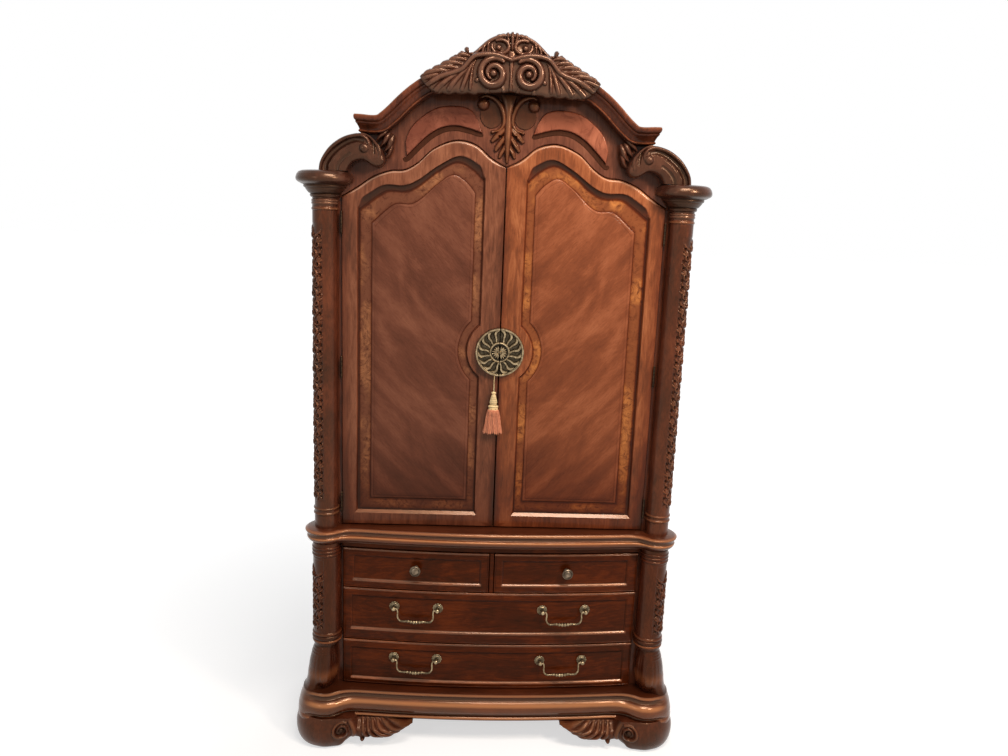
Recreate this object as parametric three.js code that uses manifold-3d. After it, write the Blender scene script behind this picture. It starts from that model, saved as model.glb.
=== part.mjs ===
// A two-part television armoire: a chest of drawers on carved feet, and a cabinet with two
// arched doors between engaged columns, under a curved cornice with a carved crest.
// Millimetres. X runs to the viewer's right, Y from the front to the back, Z up.
// The front is worked out from the closed doors' face, and the whole is centred at the end.

import * as THREE from "three";
import { mergeVertices } from "three/addons/utils/BufferGeometryUtils.js";
import Module from "manifold-3d";

const wasm = await Module();
wasm.setup();

// Fits
const seam = 0.3; // between pieces glued or screwed together
const workingGap = 3; // round doors and drawer fronts
const overrun = 5; // how far a cut runs past its piece

// Heights, stacked from the floor
const apronHeight = 92; // floor to the underside of the moulded base
const baseHeight = 95;
const chestHeight = 509.7;
const waistHeight = 50.7;
const cabinetHeight = 1107;
const corniceLift = 112; // top of the cabinet to the cornice's lower ends
const corniceRise = 130; // from those ends up to the cornice's middle
const corniceDepthUp = 48; // the cornice's height across its curve
const crestBottomLift = 224; // top of the cabinet to the crest's lower edge
const crestHeight = 171;

// Widths, from the middle to one side
const cabinetHalf = 560;
const chestStep = 6; // chest's sides beyond the cabinet's
const postWidth = 70.6; // cabinet posts, from the side's face inwards
const chestPostWidth = 79;
const cornerInset = 24; // axis of columns, pilasters and front feet, in from the cabinet's side
const corniceInset = 129; // cornice's lower ends in from the cabinet's side
const corniceFlare = 17;
const crestHalf = 255;

// Depths, from the doors' face
const caseDepth = 530;
const facadeSetback = 8; // posts' and tympanum's face behind the doors' face
const cornerForward = 8; // axis of columns, pilasters and front feet, in front of it
const drawerForward = 5; // drawer fronts' ends in front of it
const bow = 30; // how far the drawer fronts swell forward in the middle
const baseForward = 40;
const baseBow = 25;
const waistForward = 24;

// Boards
const sideThickness = 22;
const postDepth = 30;
const boardThickness = 22;
const dustThickness = 16;
const cabinetBackThickness = 8;
const chestBackThickness = 16;
const tympanumThickness = 36;

// Widths worked out from the cabinet's
const chestHalf = cabinetHalf + chestStep;
const openingHalf = cabinetHalf - postWidth;
const chestOpeningHalf = chestHalf - chestPostWidth;
const cornerSetOut = cabinetHalf - cornerInset;
const corniceHalf = cabinetHalf - corniceInset;

// Heights worked out from the stack
const baseTop = apronHeight + baseHeight;
const chestBottom = baseTop + seam;
const chestTop = chestBottom + chestHeight;
const waistBottom = chestTop + seam;
const waistTop = waistBottom + waistHeight;
const cabinetBottom = waistTop + seam;
const cabinetTop = cabinetBottom + cabinetHeight;
const corniceFoot = cabinetTop + corniceLift;
const crestBottom = cabinetTop + crestBottomLift;

// Pieces as solids
function mergedCopy(geometry) {
  const bare = geometry.clone();
  bare.deleteAttribute("normal");
  bare.deleteAttribute("uv");
  return mergeVertices(bare, seam / 1000);
}

function solidOf(geometry) {
  const merged = mergedCopy(geometry);
  return new wasm.Manifold(
    new wasm.Mesh({
      numProp: 3,
      vertProperties: merged.attributes.position.array,
      triVerts: new Uint32Array(merged.index.array),
    }),
  );
}

function geometryOf(solid) {
  const mesh = solid.getMesh();
  const position = new Float32Array(mesh.numVert * 3);
  for (let i = 0; i < mesh.numVert; i++) {
    position.set(mesh.vertProperties.subarray(i * mesh.numProp, i * mesh.numProp + 3), i * 3);
  }
  const geometry = new THREE.BufferGeometry();
  geometry.setAttribute("position", new THREE.BufferAttribute(position, 3));
  geometry.setIndex(new THREE.BufferAttribute(mesh.triVerts, 1));
  return geometry;
}

const joined = (first, ...rest) =>
  geometryOf(rest.reduce((solid, other) => solid.add(solidOf(other)), solidOf(first)));

const cutBy = (first, ...rest) =>
  geometryOf(rest.reduce((solid, other) => solid.subtract(solidOf(other)), solidOf(first)));

// A box between two corners
function block(x0, x1, y0, y1, z0, z1) {
  const box = new THREE.BoxGeometry(x1 - x0, y1 - y0, z1 - z0);
  return box.translate((x0 + x1) / 2, (y0 + y1) / 2, (z0 + z1) / 2);
}

const shapeOf = (points) => new THREE.Shape(points.map(([x, y]) => new THREE.Vector2(x, y)));

// An outline in plan, raised from z0 to z1
function raised(points, z0, z1) {
  const plan = new THREE.ExtrudeGeometry(shapeOf(points), { depth: z1 - z0, bevelEnabled: false });
  return plan.translate(0, 0, z0);
}

// An outline in elevation, X across and Z up, as thick as y0 to y1
function upright(shape, y0, y1) {
  const face = new THREE.ExtrudeGeometry(shape, { depth: y1 - y0, bevelEnabled: false });
  return face.rotateX(Math.PI / 2).translate(0, y1, 0);
}

// A turned piece about the Z axis; profile is [radius, height] from its foot up
function turned(profile, segments) {
  const ends = [[0, profile[0][1]], ...profile, [0, profile[profile.length - 1][1]]];
  const lathe = new THREE.LatheGeometry(ends.map(([r, z]) => new THREE.Vector2(r, z)), segments);
  return lathe.rotateX(Math.PI / 2);
}

// A turned piece that stands out from the front, its foot at y = 0
const turnedForward = (profile, segments) => turned(profile, segments).rotateX(Math.PI / 2);

// A smooth line through points given as shares of a width and a height
function smoothLine(shares, width, height, x0, z0, steps) {
  const points = shares.map(([u, v]) => new THREE.Vector2(x0 + u * width, z0 + v * height));
  return new THREE.SplineCurve(points).getPoints(steps).map((p) => [p.x, p.y]);
}

const scaled = (shares, width, height, x0, z0) =>
  shares.map(([u, v]) => [x0 + u * width, z0 + v * height]);

// Points for x below zero that mirror a line which ends in the middle
const mirroredLine = (line) =>
  line
    .filter(([x]) => x > 0)
    .map(([x, z]) => [-x, z])
    .reverse();

// Triangles that fill a ring and turn the same way as it does
function capTriangles(ring) {
  const level = ring.every((p) => p[2] === ring[0][2]);
  const flat = ring.map(([x, y, z]) => (level ? new THREE.Vector2(x, y) : new THREE.Vector2(y, z)));
  const turn = Math.sign(THREE.ShapeUtils.area(flat));
  return THREE.ShapeUtils.triangulateShape(flat, []).map((triangle) => {
    const sameWay = Math.sign(THREE.ShapeUtils.area(triangle.map((i) => flat[i]))) === turn;
    return sameWay ? triangle : [...triangle].reverse();
  });
}

// Six times the volume inside a closed skin, below zero where its faces point inwards
function signedVolume(position, index) {
  const corner = (i) => new THREE.Vector3(...position.slice(3 * i, 3 * i + 3));
  let volume = 0;
  for (let i = 0; i < index.length; i += 3) {
    const [a, b, c] = index.slice(i, i + 3).map(corner);
    volume += a.dot(b.cross(c));
  }
  return volume;
}

// A closed skin through rings with the same number of points, each [x, y, z]
function loft(rings) {
  const count = rings[0].length;
  const position = rings.flat(2);
  const index = [];
  for (let j = 0; j + 1 < rings.length; j++) {
    for (let i = 0; i < count; i++) {
      const a = j * count + i;
      const b = j * count + ((i + 1) % count);
      index.push(a, b, b + count, a, b + count, a + count);
    }
  }
  const last = (rings.length - 1) * count;
  for (const [a, b, c] of capTriangles(rings[0])) index.push(a, c, b);
  for (const [a, b, c] of capTriangles(rings.at(-1))) index.push(last + a, last + b, last + c);
  const geometry = new THREE.BufferGeometry();
  geometry.setAttribute("position", new THREE.Float32BufferAttribute(position, 3));
  geometry.setIndex(signedVolume(position, index) < 0 ? index.reverse() : index);
  return geometry;
}

// A round rod along a line of [x, z] points
function rod(path, radius, sides) {
  const rings = path.map(([x, z], i) => {
    const [xa, za] = path[Math.max(i - 1, 0)];
    const [xb, zb] = path[Math.min(i + 1, path.length - 1)];
    const length = Math.hypot(xb - xa, zb - za);
    const across = [(za - zb) / length, (xb - xa) / length];
    return Array.from({ length: sides }, (_, k) => {
      const angle = (2 * Math.PI * k) / sides;
      const reach = radius * Math.cos(angle);
      return [x + across[0] * reach, radius * Math.sin(angle), z + across[1] * reach];
    });
  });
  return loft(rings);
}

// Materials
const wood = (colour) => () =>
  new THREE.MeshStandardMaterial({ color: colour, roughness: 0.35, metalness: 0 });
const caseWood = wood(0x4a2416);
const carvedWood = wood(0x3c2018);
const veneer = wood(0x7a4228);
const innerWood = wood(0x8a6a48);
const brass = () =>
  new THREE.MeshStandardMaterial({ color: 0x8a744c, roughness: 0.4, metalness: 0.9 });
const silk = () => new THREE.MeshStandardMaterial({ color: 0xc98a72, roughness: 0.8 });

const armoire = new THREE.Group();

function add(name, geometry, material, parent = armoire) {
  const mesh = new THREE.Mesh(geometry, material());
  mesh.name = name;
  parent.add(mesh);
  return mesh;
}

// The same piece on both sides: the right one as built, the left one mirrored
function addPair(name, geometry, material, parent = armoire) {
  add(name + "_right", geometry, material, parent);
  add(name + "_left", geometry.clone(), material, parent).scale.x = -1;
}

// Moulded base and waist: rings in plan that bow forward and swell round each front corner
const mouldingFrontSteps = 10;
const mouldingCornerSteps = 7;

function mouldingRing(forward, swell, cornerRadius, sideHalf, back, z) {
  const join = Math.asin((forward - cornerForward) / cornerRadius);
  const turn = Math.acos((sideHalf - cornerSetOut) / cornerRadius);
  const joinX = cornerSetOut - cornerRadius * Math.cos(join);
  const corner = [];
  for (let i = 0; i <= mouldingCornerSteps; i++) {
    const angle = THREE.MathUtils.lerp(Math.PI + join, 2 * Math.PI + turn, i / mouldingCornerSteps);
    const x = cornerSetOut + cornerRadius * Math.cos(angle);
    corner.push([x, cornerRadius * Math.sin(angle) - cornerForward, z]);
  }
  const front = [];
  for (let i = 1; i < mouldingFrontSteps; i++) {
    const share = (2 * i) / mouldingFrontSteps - 1;
    front.push([share * joinX, -forward - swell * (1 - share * share), z]);
  }
  const right = [...corner, [sideHalf, back, z]];
  const left = right.map(([x, y]) => [-x, y, z]).reverse();
  return [...front, ...right, ...left];
}

// Rows of height, forward projection and corner swell, each as a share
const baseProfileShares = [
  [0, 0.2, 1],
  [0.13, 0.35, 1],
  [0.17, 0.7, 1],
  [0.23, 0.75, 0.96],
  [0.28, 0.5, 0.88],
  [0.32, 0.1, 0.72],
  [0.41, 0.1, 0.62],
  [0.45, 0.6, 0.62],
  [0.52, 0.95, 0.6],
  [0.62, 1, 0.54],
  [0.7, 0.8, 0.44],
  [0.75, 0.45, 0.34],
  [0.79, 0.12, 0.22],
  [0.88, 0.1, 0.14],
  [0.93, 0.35, 0.14],
  [1, 0.25, 0.08],
];
const waistProfileShares = [
  [0, 0, 0],
  [0.1, 0.3, 0.2],
  [0.22, 0.85, 0.4],
  [0.36, 1, 0.6],
  [0.5, 0.8, 0.75],
  [0.58, 0.35, 0.75],
  [0.72, 0.35, 0.85],
  [0.8, 0.8, 1],
  [0.9, 0.9, 1],
  [1, 0.5, 0.7],
];
const baseProjection = 17;
const baseCornerRadius = 70;
const baseCornerFlare = 26;
const baseOverhang = 12; // of the moulded base beyond the chest's sides
const waistProjection = 12;
const waistCornerRadius = 50;
const waistCornerFlare = 16;
const waistOverhang = 8;
const hollowWall = 40; // solid wood left behind the mouldings
const bottomBoard = 18;

const chestBackFace = caseDepth - chestBackThickness;

function mouldedSlab(rows, z0, height, size) {
  return loft(
    rows.map(([up, out, swell]) =>
      mouldingRing(
        size.forward + out * size.projection,
        size.swell,
        size.cornerRadius + swell * size.cornerFlare,
        size.half + out * size.projection,
        size.back,
        z0 + up * height,
      ),
    ),
  );
}

// The base is a bottom board with moulded edges, open below
const baseBoard = cutBy(
  mouldedSlab(baseProfileShares, apronHeight, baseHeight, {
    forward: baseForward,
    swell: baseBow,
    projection: baseProjection,
    cornerRadius: baseCornerRadius,
    cornerFlare: baseCornerFlare,
    half: chestHalf + baseOverhang,
    back: chestBackFace - seam,
  }),
  block(
    -chestHalf + hollowWall,
    chestHalf - hollowWall,
    hollowWall,
    chestBackFace - hollowWall,
    apronHeight - overrun,
    baseTop - bottomBoard,
  ),
);
add("base_board", baseBoard, caseWood);

const waistBoard = cutBy(
  mouldedSlab(waistProfileShares, waistBottom, waistHeight, {
    forward: waistForward,
    swell: bow,
    projection: waistProjection,
    cornerRadius: waistCornerRadius,
    cornerFlare: waistCornerFlare,
    half: chestHalf + waistOverhang,
    back: caseDepth,
  }),
  block(
    -chestHalf + hollowWall,
    chestHalf - hollowWall,
    hollowWall,
    caseDepth - hollowWall,
    waistBottom - overrun,
    waistTop - boardThickness,
  ),
);
add("waist_top", waistBoard, caseWood);

// Carved front feet: a round scroll foot with a bracket along the front and one along the side
const footRadius = 102;
const footSegments = 22;
const footProfileShares = [
  [0.7, 0],
  [0.88, 0.12],
  [0.97, 0.35],
  [1, 0.62],
  [0.98, 1],
];
const bracketReach = 289; // from the foot's axis towards the middle
const bracketFront = 84;
const bracketThickness = 44;
const bracketShares = [
  [0, 1],
  [1, 1],
  [0.91, 0.78],
  [0.82, 0.54],
  [0.71, 0.35],
  [0.49, 0.26],
  [0.28, 0.25],
  [0, 0.3],
];
const sideBracketReach = 250;
const sideBracketThickness = 30;

function footGeometry() {
  const height = apronHeight - seam;
  const foot = turned(scaled(footProfileShares, footRadius, height, 0, 0), footSegments);
  foot.translate(cornerSetOut, -cornerForward, 0);
  const frontOutline = scaled(bracketShares, -bracketReach, height, cornerSetOut, 0);
  const front = upright(shapeOf(frontOutline), -bracketFront, -bracketFront + bracketThickness);
  const side = upright(
    shapeOf(scaled(bracketShares, -sideBracketReach, height, 0, 0)),
    0,
    sideBracketThickness,
  );
  side.rotateZ(-Math.PI / 2).translate(chestHalf, -cornerForward, 0);
  return joined(foot, front, side);
}
addPair("foot_front", footGeometry(), carvedWood);

// Chest sides, each with its front post, and the back that runs down as the rear feet
function sidePlan(half, innerHalf, back) {
  const inner = half - sideThickness;
  const postBack = facadeSetback + postDepth;
  return [
    [innerHalf, facadeSetback],
    [half, facadeSetback],
    [half, back],
    [inner, back],
    [inner, postBack],
    [innerHalf, postBack],
  ];
}

// A board between the sides that reaches forward between the posts
function betweenPlan(half, innerHalf, front, back) {
  const inner = half - sideThickness - seam;
  const postBack = facadeSetback + postDepth + seam;
  const right = [
    [innerHalf - seam, front],
    [innerHalf - seam, postBack],
    [inner, postBack],
    [inner, back],
  ];
  return [...right, ...right.map(([x, y]) => [-x, y]).reverse()];
}

addPair(
  "base_side",
  raised(sidePlan(chestHalf, chestOpeningHalf, chestBackFace - seam), chestBottom, chestTop),
  caseWood,
);

const rearFootWidth = 136;
const rearArchStep = 30; // how far the rear cut-out's corners are drawn in

function chestBack() {
  const cutHalf = chestHalf - rearFootWidth;
  const outline = [
    [-chestHalf, 0],
    [-cutHalf - rearArchStep, 0],
    [-cutHalf, apronHeight - rearArchStep],
    [-cutHalf + rearArchStep, apronHeight],
    [cutHalf - rearArchStep, apronHeight],
    [cutHalf, apronHeight - rearArchStep],
    [cutHalf + rearArchStep, 0],
    [chestHalf, 0],
    [chestHalf, chestTop],
    [-chestHalf, chestTop],
  ];
  return upright(shapeOf(outline), chestBackFace, caseDepth);
}
add("base_back", chestBack(), innerWood);

// Drawers
const drawerEdgeHalf = chestOpeningHalf - workingGap;
const drawerFrontThickness = 22; // at the ends, behind a flat back
const drawerBack = drawerFrontThickness - drawerForward;
const upperDrawerMiddleGap = 9; // from the middle to a small drawer's edge
const topRailHeight = 23;
const upperDrawerHeight = 135.5;
const middleDrawerHeight = 182;
const drawerPanelDepth = 5;
// Widths of the raised border round each drawer's sunk panel
const upperBorder = { inner: 30, outer: 38, top: 29, bottom: 30 };
const middleBorder = { inner: 31, outer: 31, top: 31, bottom: 42 };
const bottomBorder = { inner: 31, outer: 31, top: 33, bottom: 22 };
const faceSteps = 12;

// Y of the bowed drawer face at x
const faceAt = (x) => -drawerForward - bow * (1 - (x / drawerEdgeHalf) ** 2);

// Plan from x0 to x1 with a bowed front, set back from the drawers' face, and a flat back
function bowedPlan(x0, x1, setback, back) {
  const front = [];
  for (let i = 0; i <= faceSteps; i++) {
    const x = THREE.MathUtils.lerp(x0, x1, i / faceSteps);
    front.push([x, faceAt(x) + setback]);
  }
  return [...front, [x1, back], [x0, back]];
}

const topRailBottom = chestTop - topRailHeight;
const upperDrawerTop = topRailBottom - workingGap;
const upperDrawerBottom = upperDrawerTop - upperDrawerHeight;
const middleDrawerTop = upperDrawerBottom - workingGap;
const middleDrawerBottom = middleDrawerTop - middleDrawerHeight;
const bottomDrawerTop = middleDrawerBottom - workingGap;
const bottomDrawerBottom = chestBottom + workingGap;

// A dust board lies behind the gap between two rows of drawers
const dustTop = (rowBottom) => rowBottom + dustThickness / 2;
const upperDustTop = dustTop(upperDrawerBottom);
const lowerDustTop = dustTop(middleDrawerBottom);

const railSetback = 4;
const dividerHalf = 6;

function upperDustFrame() {
  const plan = betweenPlan(chestHalf, chestOpeningHalf, drawerBack + seam, chestBackFace - seam);
  const board = raised(plan, upperDustTop - dustThickness, upperDustTop);
  const divider = block(
    -dividerHalf,
    dividerHalf,
    drawerBack + seam,
    chestBackFace - seam,
    upperDustTop - dustThickness / 2,
    topRailBottom + topRailHeight / 2,
  );
  const railHalf = chestOpeningHalf - seam;
  const railPlan = bowedPlan(-railHalf, railHalf, railSetback, facadeSetback + postDepth);
  return joined(board, divider, raised(railPlan, topRailBottom, chestTop - seam));
}
add("dust_frame_upper", upperDustFrame(), innerWood);

const lowerDustPlan = betweenPlan(
  chestHalf,
  chestOpeningHalf,
  drawerBack + seam,
  chestBackFace - seam,
);
add("dust_frame_lower", raised(lowerDustPlan, lowerDustTop - dustThickness, lowerDustTop), innerWood);

const boxInset = 6; // drawer box's sides behind the front's edges
const boxWall = 12;
const boxBottom = 8;
const boxBackGap = 26.7; // behind a closed drawer's box
const boxLength = chestBackFace - drawerBack - seam - boxBackGap;
const boxHeadroom = 20;

function drawerFront(x0, x1, z0, z1, border) {
  const recess = bowedPlan(
    x0 + border.inner,
    x1 - border.outer,
    drawerPanelDepth,
    -drawerForward - 2 * bow,
  );
  return cutBy(
    raised(bowedPlan(x0, x1, 0, drawerBack), z0, z1),
    raised(recess.reverse(), z0 + border.bottom, z1 - border.top),
  );
}

function drawerBox(x0, x1, z0, z1) {
  const front = drawerBack + seam;
  return cutBy(
    block(x0, x1, front, front + boxLength, z0, z1),
    block(
      x0 + boxWall,
      x1 - boxWall,
      front + boxWall,
      front + boxLength - boxWall,
      z0 + boxBottom,
      z1 + overrun,
    ),
  );
}

const upperBoxTop = topRailBottom - boxHeadroom;
const middleBoxTop = upperDustTop - dustThickness - boxHeadroom;
const bottomBoxTop = lowerDustTop - dustThickness - boxHeadroom;

addPair(
  "drawer_front_upper",
  drawerFront(
    upperDrawerMiddleGap,
    drawerEdgeHalf,
    upperDrawerBottom,
    upperDrawerTop,
    upperBorder,
  ),
  veneer,
);
addPair(
  "drawer_box_upper",
  drawerBox(
    upperDrawerMiddleGap + boxInset,
    drawerEdgeHalf - boxInset,
    upperDustTop + seam,
    upperBoxTop,
  ),
  innerWood,
);
add(
  "drawer_front_middle",
  drawerFront(-drawerEdgeHalf, drawerEdgeHalf, middleDrawerBottom, middleDrawerTop, middleBorder),
  veneer,
);
add(
  "drawer_front_bottom",
  drawerFront(-drawerEdgeHalf, drawerEdgeHalf, bottomDrawerBottom, bottomDrawerTop, bottomBorder),
  veneer,
);
const wideBoxHalf = drawerEdgeHalf - boxInset;
add(
  "drawer_box_middle",
  drawerBox(-wideBoxHalf, wideBoxHalf, lowerDustTop + seam, middleBoxTop),
  innerWood,
);
add(
  "drawer_box_bottom",
  drawerBox(-wideBoxHalf, wideBoxHalf, chestBottom, bottomBoxTop),
  innerWood,
);

// Knobs and bail pulls, each in a group that faces square to the bowed front
const knobRadius = 18;
const knobLength = 28;
const knobSegments = 16;
const knobShares = [
  [0.6, 0],
  [0.6, 0.12],
  [0.34, 0.25],
  [0.34, 0.5],
  [0.95, 0.68],
  [1, 0.82],
  [0.7, 1],
];
const fittingGap = 0.6; // a flat fitting's seat on the bowed face

function onFace(x, z) {
  const group = new THREE.Group();
  const slope = (2 * bow * x) / drawerEdgeHalf ** 2;
  group.position.set(x, faceAt(x) + drawerPanelDepth - fittingGap, z);
  group.rotation.z = Math.atan(slope);
  armoire.add(group);
  return group;
}

const knobX = (upperDrawerMiddleGap + drawerEdgeHalf) / 2;
const knobLift = 6; // above the middle of the drawer front
const knobZ = (upperDrawerBottom + upperDrawerTop) / 2 + knobLift;
const knob = turnedForward(scaled(knobShares, knobRadius, knobLength, 0, 0), knobSegments);
add("knob_right", knob, brass, onFace(knobX, knobZ));
add("knob_left", knob.clone(), brass, onFace(-knobX, knobZ));

const pullShare = 0.502; // of the drawer front's half width
const pullX = pullShare * drawerEdgeHalf;
const postSpacing = 143;
const postLift = 32.5; // pivots above the middle of the drawer front
const bottomPostLift = 22;
const rosetteRadius = 16.5;
const rosetteThickness = 5;
const stemRadius = 7;
const pivotForward = 20;
const postSegments = 10;
const bailRadius = 3;
const bailFit = 0.3;
const bailDrop = 44;
const bailNeck = 5;
const bailWaistShare = 0.78;
const bailSides = 6;
const boreSegments = 8;

// A post at x in its pull's group, its foot cut to the bowed face behind it
function pullPost(x, face) {
  const post = turnedForward(
    [
      [rosetteRadius, -overrun],
      [rosetteRadius, rosetteThickness / 2],
      [stemRadius, rosetteThickness],
      [stemRadius, pivotForward + stemRadius],
    ],
    postSegments,
  );
  const boreRadius = bailRadius + bailFit;
  const boreLength = 2 * (stemRadius + overrun);
  const bore = new THREE.CylinderGeometry(boreRadius, boreRadius, boreLength, boreSegments);
  bore.rotateZ(Math.PI / 2).translate(0, -pivotForward, 0);
  return cutBy(cutBy(post, bore).translate(x, 0, 0), face);
}

// The bail hangs from its two ends, which lie in the posts' bores
function bail() {
  const endHalf = postSpacing / 2 + stemRadius;
  const straightHalf = postSpacing / 2 - stemRadius - bailFit;
  const neckHalf = straightHalf - bailNeck;
  const right = [
    [endHalf, 0],
    [straightHalf, 0],
    [neckHalf, -bailNeck / 2],
    [neckHalf - bailRadius / 2, -bailDrop / 2],
    [neckHalf - bailRadius, -bailDrop * bailWaistShare],
    [neckHalf - bailNeck * 2, -bailDrop + bailRadius],
    [neckHalf / 2, -bailDrop],
  ];
  const left = right.map(([x, z]) => [-x, z]).reverse();
  return rod([...right, ...left], bailRadius, bailSides).translate(0, -pivotForward, 0);
}

function addPull(side, row, z) {
  const outward = side === "right" ? 1 : -1;
  const group = onFace(outward * pullX, z);
  group.updateMatrix();
  const panelHalf = drawerEdgeHalf - middleBorder.outer;
  const plan = bowedPlan(-panelHalf, panelHalf, drawerPanelDepth - seam, drawerBack);
  const face = raised(plan, z - 2 * rosetteRadius, z + 2 * rosetteRadius);
  face.applyMatrix4(group.matrix.clone().invert());
  const name = row + "_" + side;
  const reach = (outward * postSpacing) / 2;
  add("pull_post_" + name + "_outer", pullPost(reach, face), brass, group);
  add("pull_post_" + name + "_inner", pullPost(-reach, face), brass, group);
  add("bail_" + name, bail(), brass, group);
}

const middlePullZ = (middleDrawerBottom + middleDrawerTop) / 2 + postLift;
const bottomPullZ = (bottomDrawerBottom + bottomDrawerTop) / 2 + bottomPostLift;
for (const side of ["left", "right"]) {
  addPull(side, "middle", middlePullZ);
  addPull(side, "bottom", bottomPullZ);
}

// Corner pilasters of the chest: a vase below a ringed shaft, flat behind
const pilasterRadius = 44;
const vaseHeight = 176;
const vaseRadius = 61;
const neckRadius = 37;
const ringHeight = 8;
const ringSwell = 3;
const turnedSegments = 18;

// Rings are swellings round a shaft, each given by its middle height
const rings = (radius, heights) =>
  heights.flatMap((z) => [
    [radius, z - ringHeight / 2],
    [radius + ringSwell, z],
    [radius, z + ringHeight / 2],
  ]);

const vaseShares = [
  [0.97, 0],
  [1, 0.12],
  [0.97, 0.35],
  [0.9, 0.58],
  [0.76, 0.76],
];

function pilaster() {
  const neck = chestBottom + vaseHeight - 3 * ringHeight;
  const profile = [
    ...scaled(vaseShares, vaseRadius, vaseHeight - 3 * ringHeight, 0, chestBottom),
    [neckRadius, neck],
    ...rings(pilasterRadius, [neck + 2 * ringHeight, neck + 5 * ringHeight]),
    ...rings(pilasterRadius, [
      chestTop - 5 * ringHeight,
      chestTop - 3.5 * ringHeight,
      chestTop - 2 * ringHeight,
    ]),
    [pilasterRadius, chestTop],
  ];
  const shaft = turned(profile, turnedSegments).translate(cornerSetOut, -cornerForward, 0);
  return flatBacked(shaft, chestBottom, chestTop, vaseRadius, chestOpeningHalf);
}

// Cuts a turned piece flat behind, and on its inner side where it would cross the opening
function flatBacked(shaft, z0, z1, radius, innerHalf) {
  const reach = 2 * radius;
  const back = block(
    cornerSetOut - reach,
    cornerSetOut + reach,
    facadeSetback - seam,
    facadeSetback + reach,
    z0 - overrun,
    z1 + overrun,
  );
  const inner = block(
    innerHalf - reach,
    innerHalf,
    -cornerForward - reach,
    facadeSetback,
    z0 - overrun,
    z1 + overrun,
  );
  return cutBy(shaft, back, inner);
}
addPair("pilaster", pilaster(), carvedWood);

// Columns of the cabinet with their capitals
const columnRadius = 37;
const capitalRadius = 84;
const capitalHeight = 78;
const columnFootHeight = 64;
const capitalShares = [
  [0.44, 0],
  [0.55, 0.17],
  [0.65, 0.32],
  [0.78, 0.44],
  [0.94, 0.6],
  [1, 0.7],
  [1, 0.82],
  [0.94, 0.92],
  [0.85, 1],
];

function column() {
  const capitalFoot = cabinetTop - capitalHeight;
  const footRing = cabinetBottom + columnFootHeight;
  const profile = [
    [columnRadius, cabinetBottom],
    ...rings(columnRadius, [footRing - 2 * ringHeight, footRing]),
    ...rings(columnRadius, [capitalFoot - 4 * ringHeight, capitalFoot - 2 * ringHeight]),
    ...scaled(capitalShares, capitalRadius, capitalHeight, 0, capitalFoot),
  ];
  const shaft = turned(profile, turnedSegments).translate(cornerSetOut, -cornerForward, 0);
  const inner = cornerSetOut - capitalRadius;
  return flatBacked(shaft, cabinetBottom, cabinetTop, capitalRadius, inner - overrun);
}
addPair("column", column(), carvedWood);

// Cabinet case
const cabinetBackFace = caseDepth - cabinetBackThickness;
addPair(
  "cabinet_side",
  raised(sidePlan(cabinetHalf, openingHalf, cabinetBackFace - seam), cabinetBottom, cabinetTop),
  caseWood,
);

const doorThickness = 22;
const doorStop = doorThickness + 2; // face of what the doors close against
const tympanumBack = facadeSetback + tympanumThickness;
add(
  "cabinet_deck",
  raised(
    betweenPlan(cabinetHalf, openingHalf, doorStop, cabinetBackFace - seam),
    cabinetBottom,
    cabinetBottom + boardThickness,
  ),
  innerWood,
);
const cabinetInnerHalf = cabinetHalf - sideThickness - seam;
add(
  "cabinet_top",
  block(
    -cabinetInnerHalf,
    cabinetInnerHalf,
    tympanumBack + seam,
    cabinetBackFace - seam,
    cabinetTop - boardThickness,
    cabinetTop,
  ),
  innerWood,
);

const shelfShare = 0.6775; // of the cabinet's height
const shelfHeight = shelfShare * cabinetHeight;
const shelfSetback = 60;
add(
  "shelf",
  block(
    -cabinetInnerHalf,
    cabinetInnerHalf,
    tympanumBack + shelfSetback,
    cabinetBackFace - seam,
    cabinetBottom + shelfHeight,
    cabinetBottom + shelfHeight + boardThickness,
  ),
  innerWood,
);

const cableHoleRadius = 40;
const cableHoleHeight = 150;
const cableHoleSteps = 24;

function cabinetBack() {
  const shape = shapeOf([
    [-cabinetHalf, cabinetBottom],
    [cabinetHalf, cabinetBottom],
    [cabinetHalf, cabinetTop],
    [-cabinetHalf, cabinetTop],
  ]);
  const hole = new THREE.Path();
  hole.absarc(0, cabinetBottom + cableHoleHeight, cableHoleRadius, 0, 2 * Math.PI, true);
  shape.holes.push(new THREE.Path(hole.getPoints(cableHoleSteps).slice(0, -1)));
  return upright(shape, cabinetBackFace, caseDepth);
}
add("cabinet_back", cabinetBack(), innerWood);

// Doors
const meetingGap = 1.5; // from the middle to a door's edge
const leafThickness = 1.2; // of the hinge leaf between a door and its post
const pinX = openingHalf - seam - leafThickness / 2;
const doorEdge = pinX - leafThickness / 2 - seam;
const shoulderDrop = 76; // doors' outer corners below the cabinet's height
const doorShoulder = cabinetHeight - shoulderDrop; // the door's height at its outer edge
const doorArch = 174;
const doorTopSteps = 30;
const doorBottom = cabinetBottom + workingGap;
const doorTopShares = [
  [0, 0.59],
  [0.092, 0.73],
  [0.187, 0.937],
  [0.307, 1],
  [0.44, 0.856],
  [0.538, 0.61],
  [0.617, 0.483],
  [0.71, 0.454],
  [0.81, 0.35],
  [0.905, 0.167],
  [1, 0],
];

const doorTopLine = (x0, x1, lift) =>
  smoothLine(doorTopShares, x1 - x0, doorArch, x0, doorBottom + doorShoulder + lift, doorTopSteps);

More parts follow.
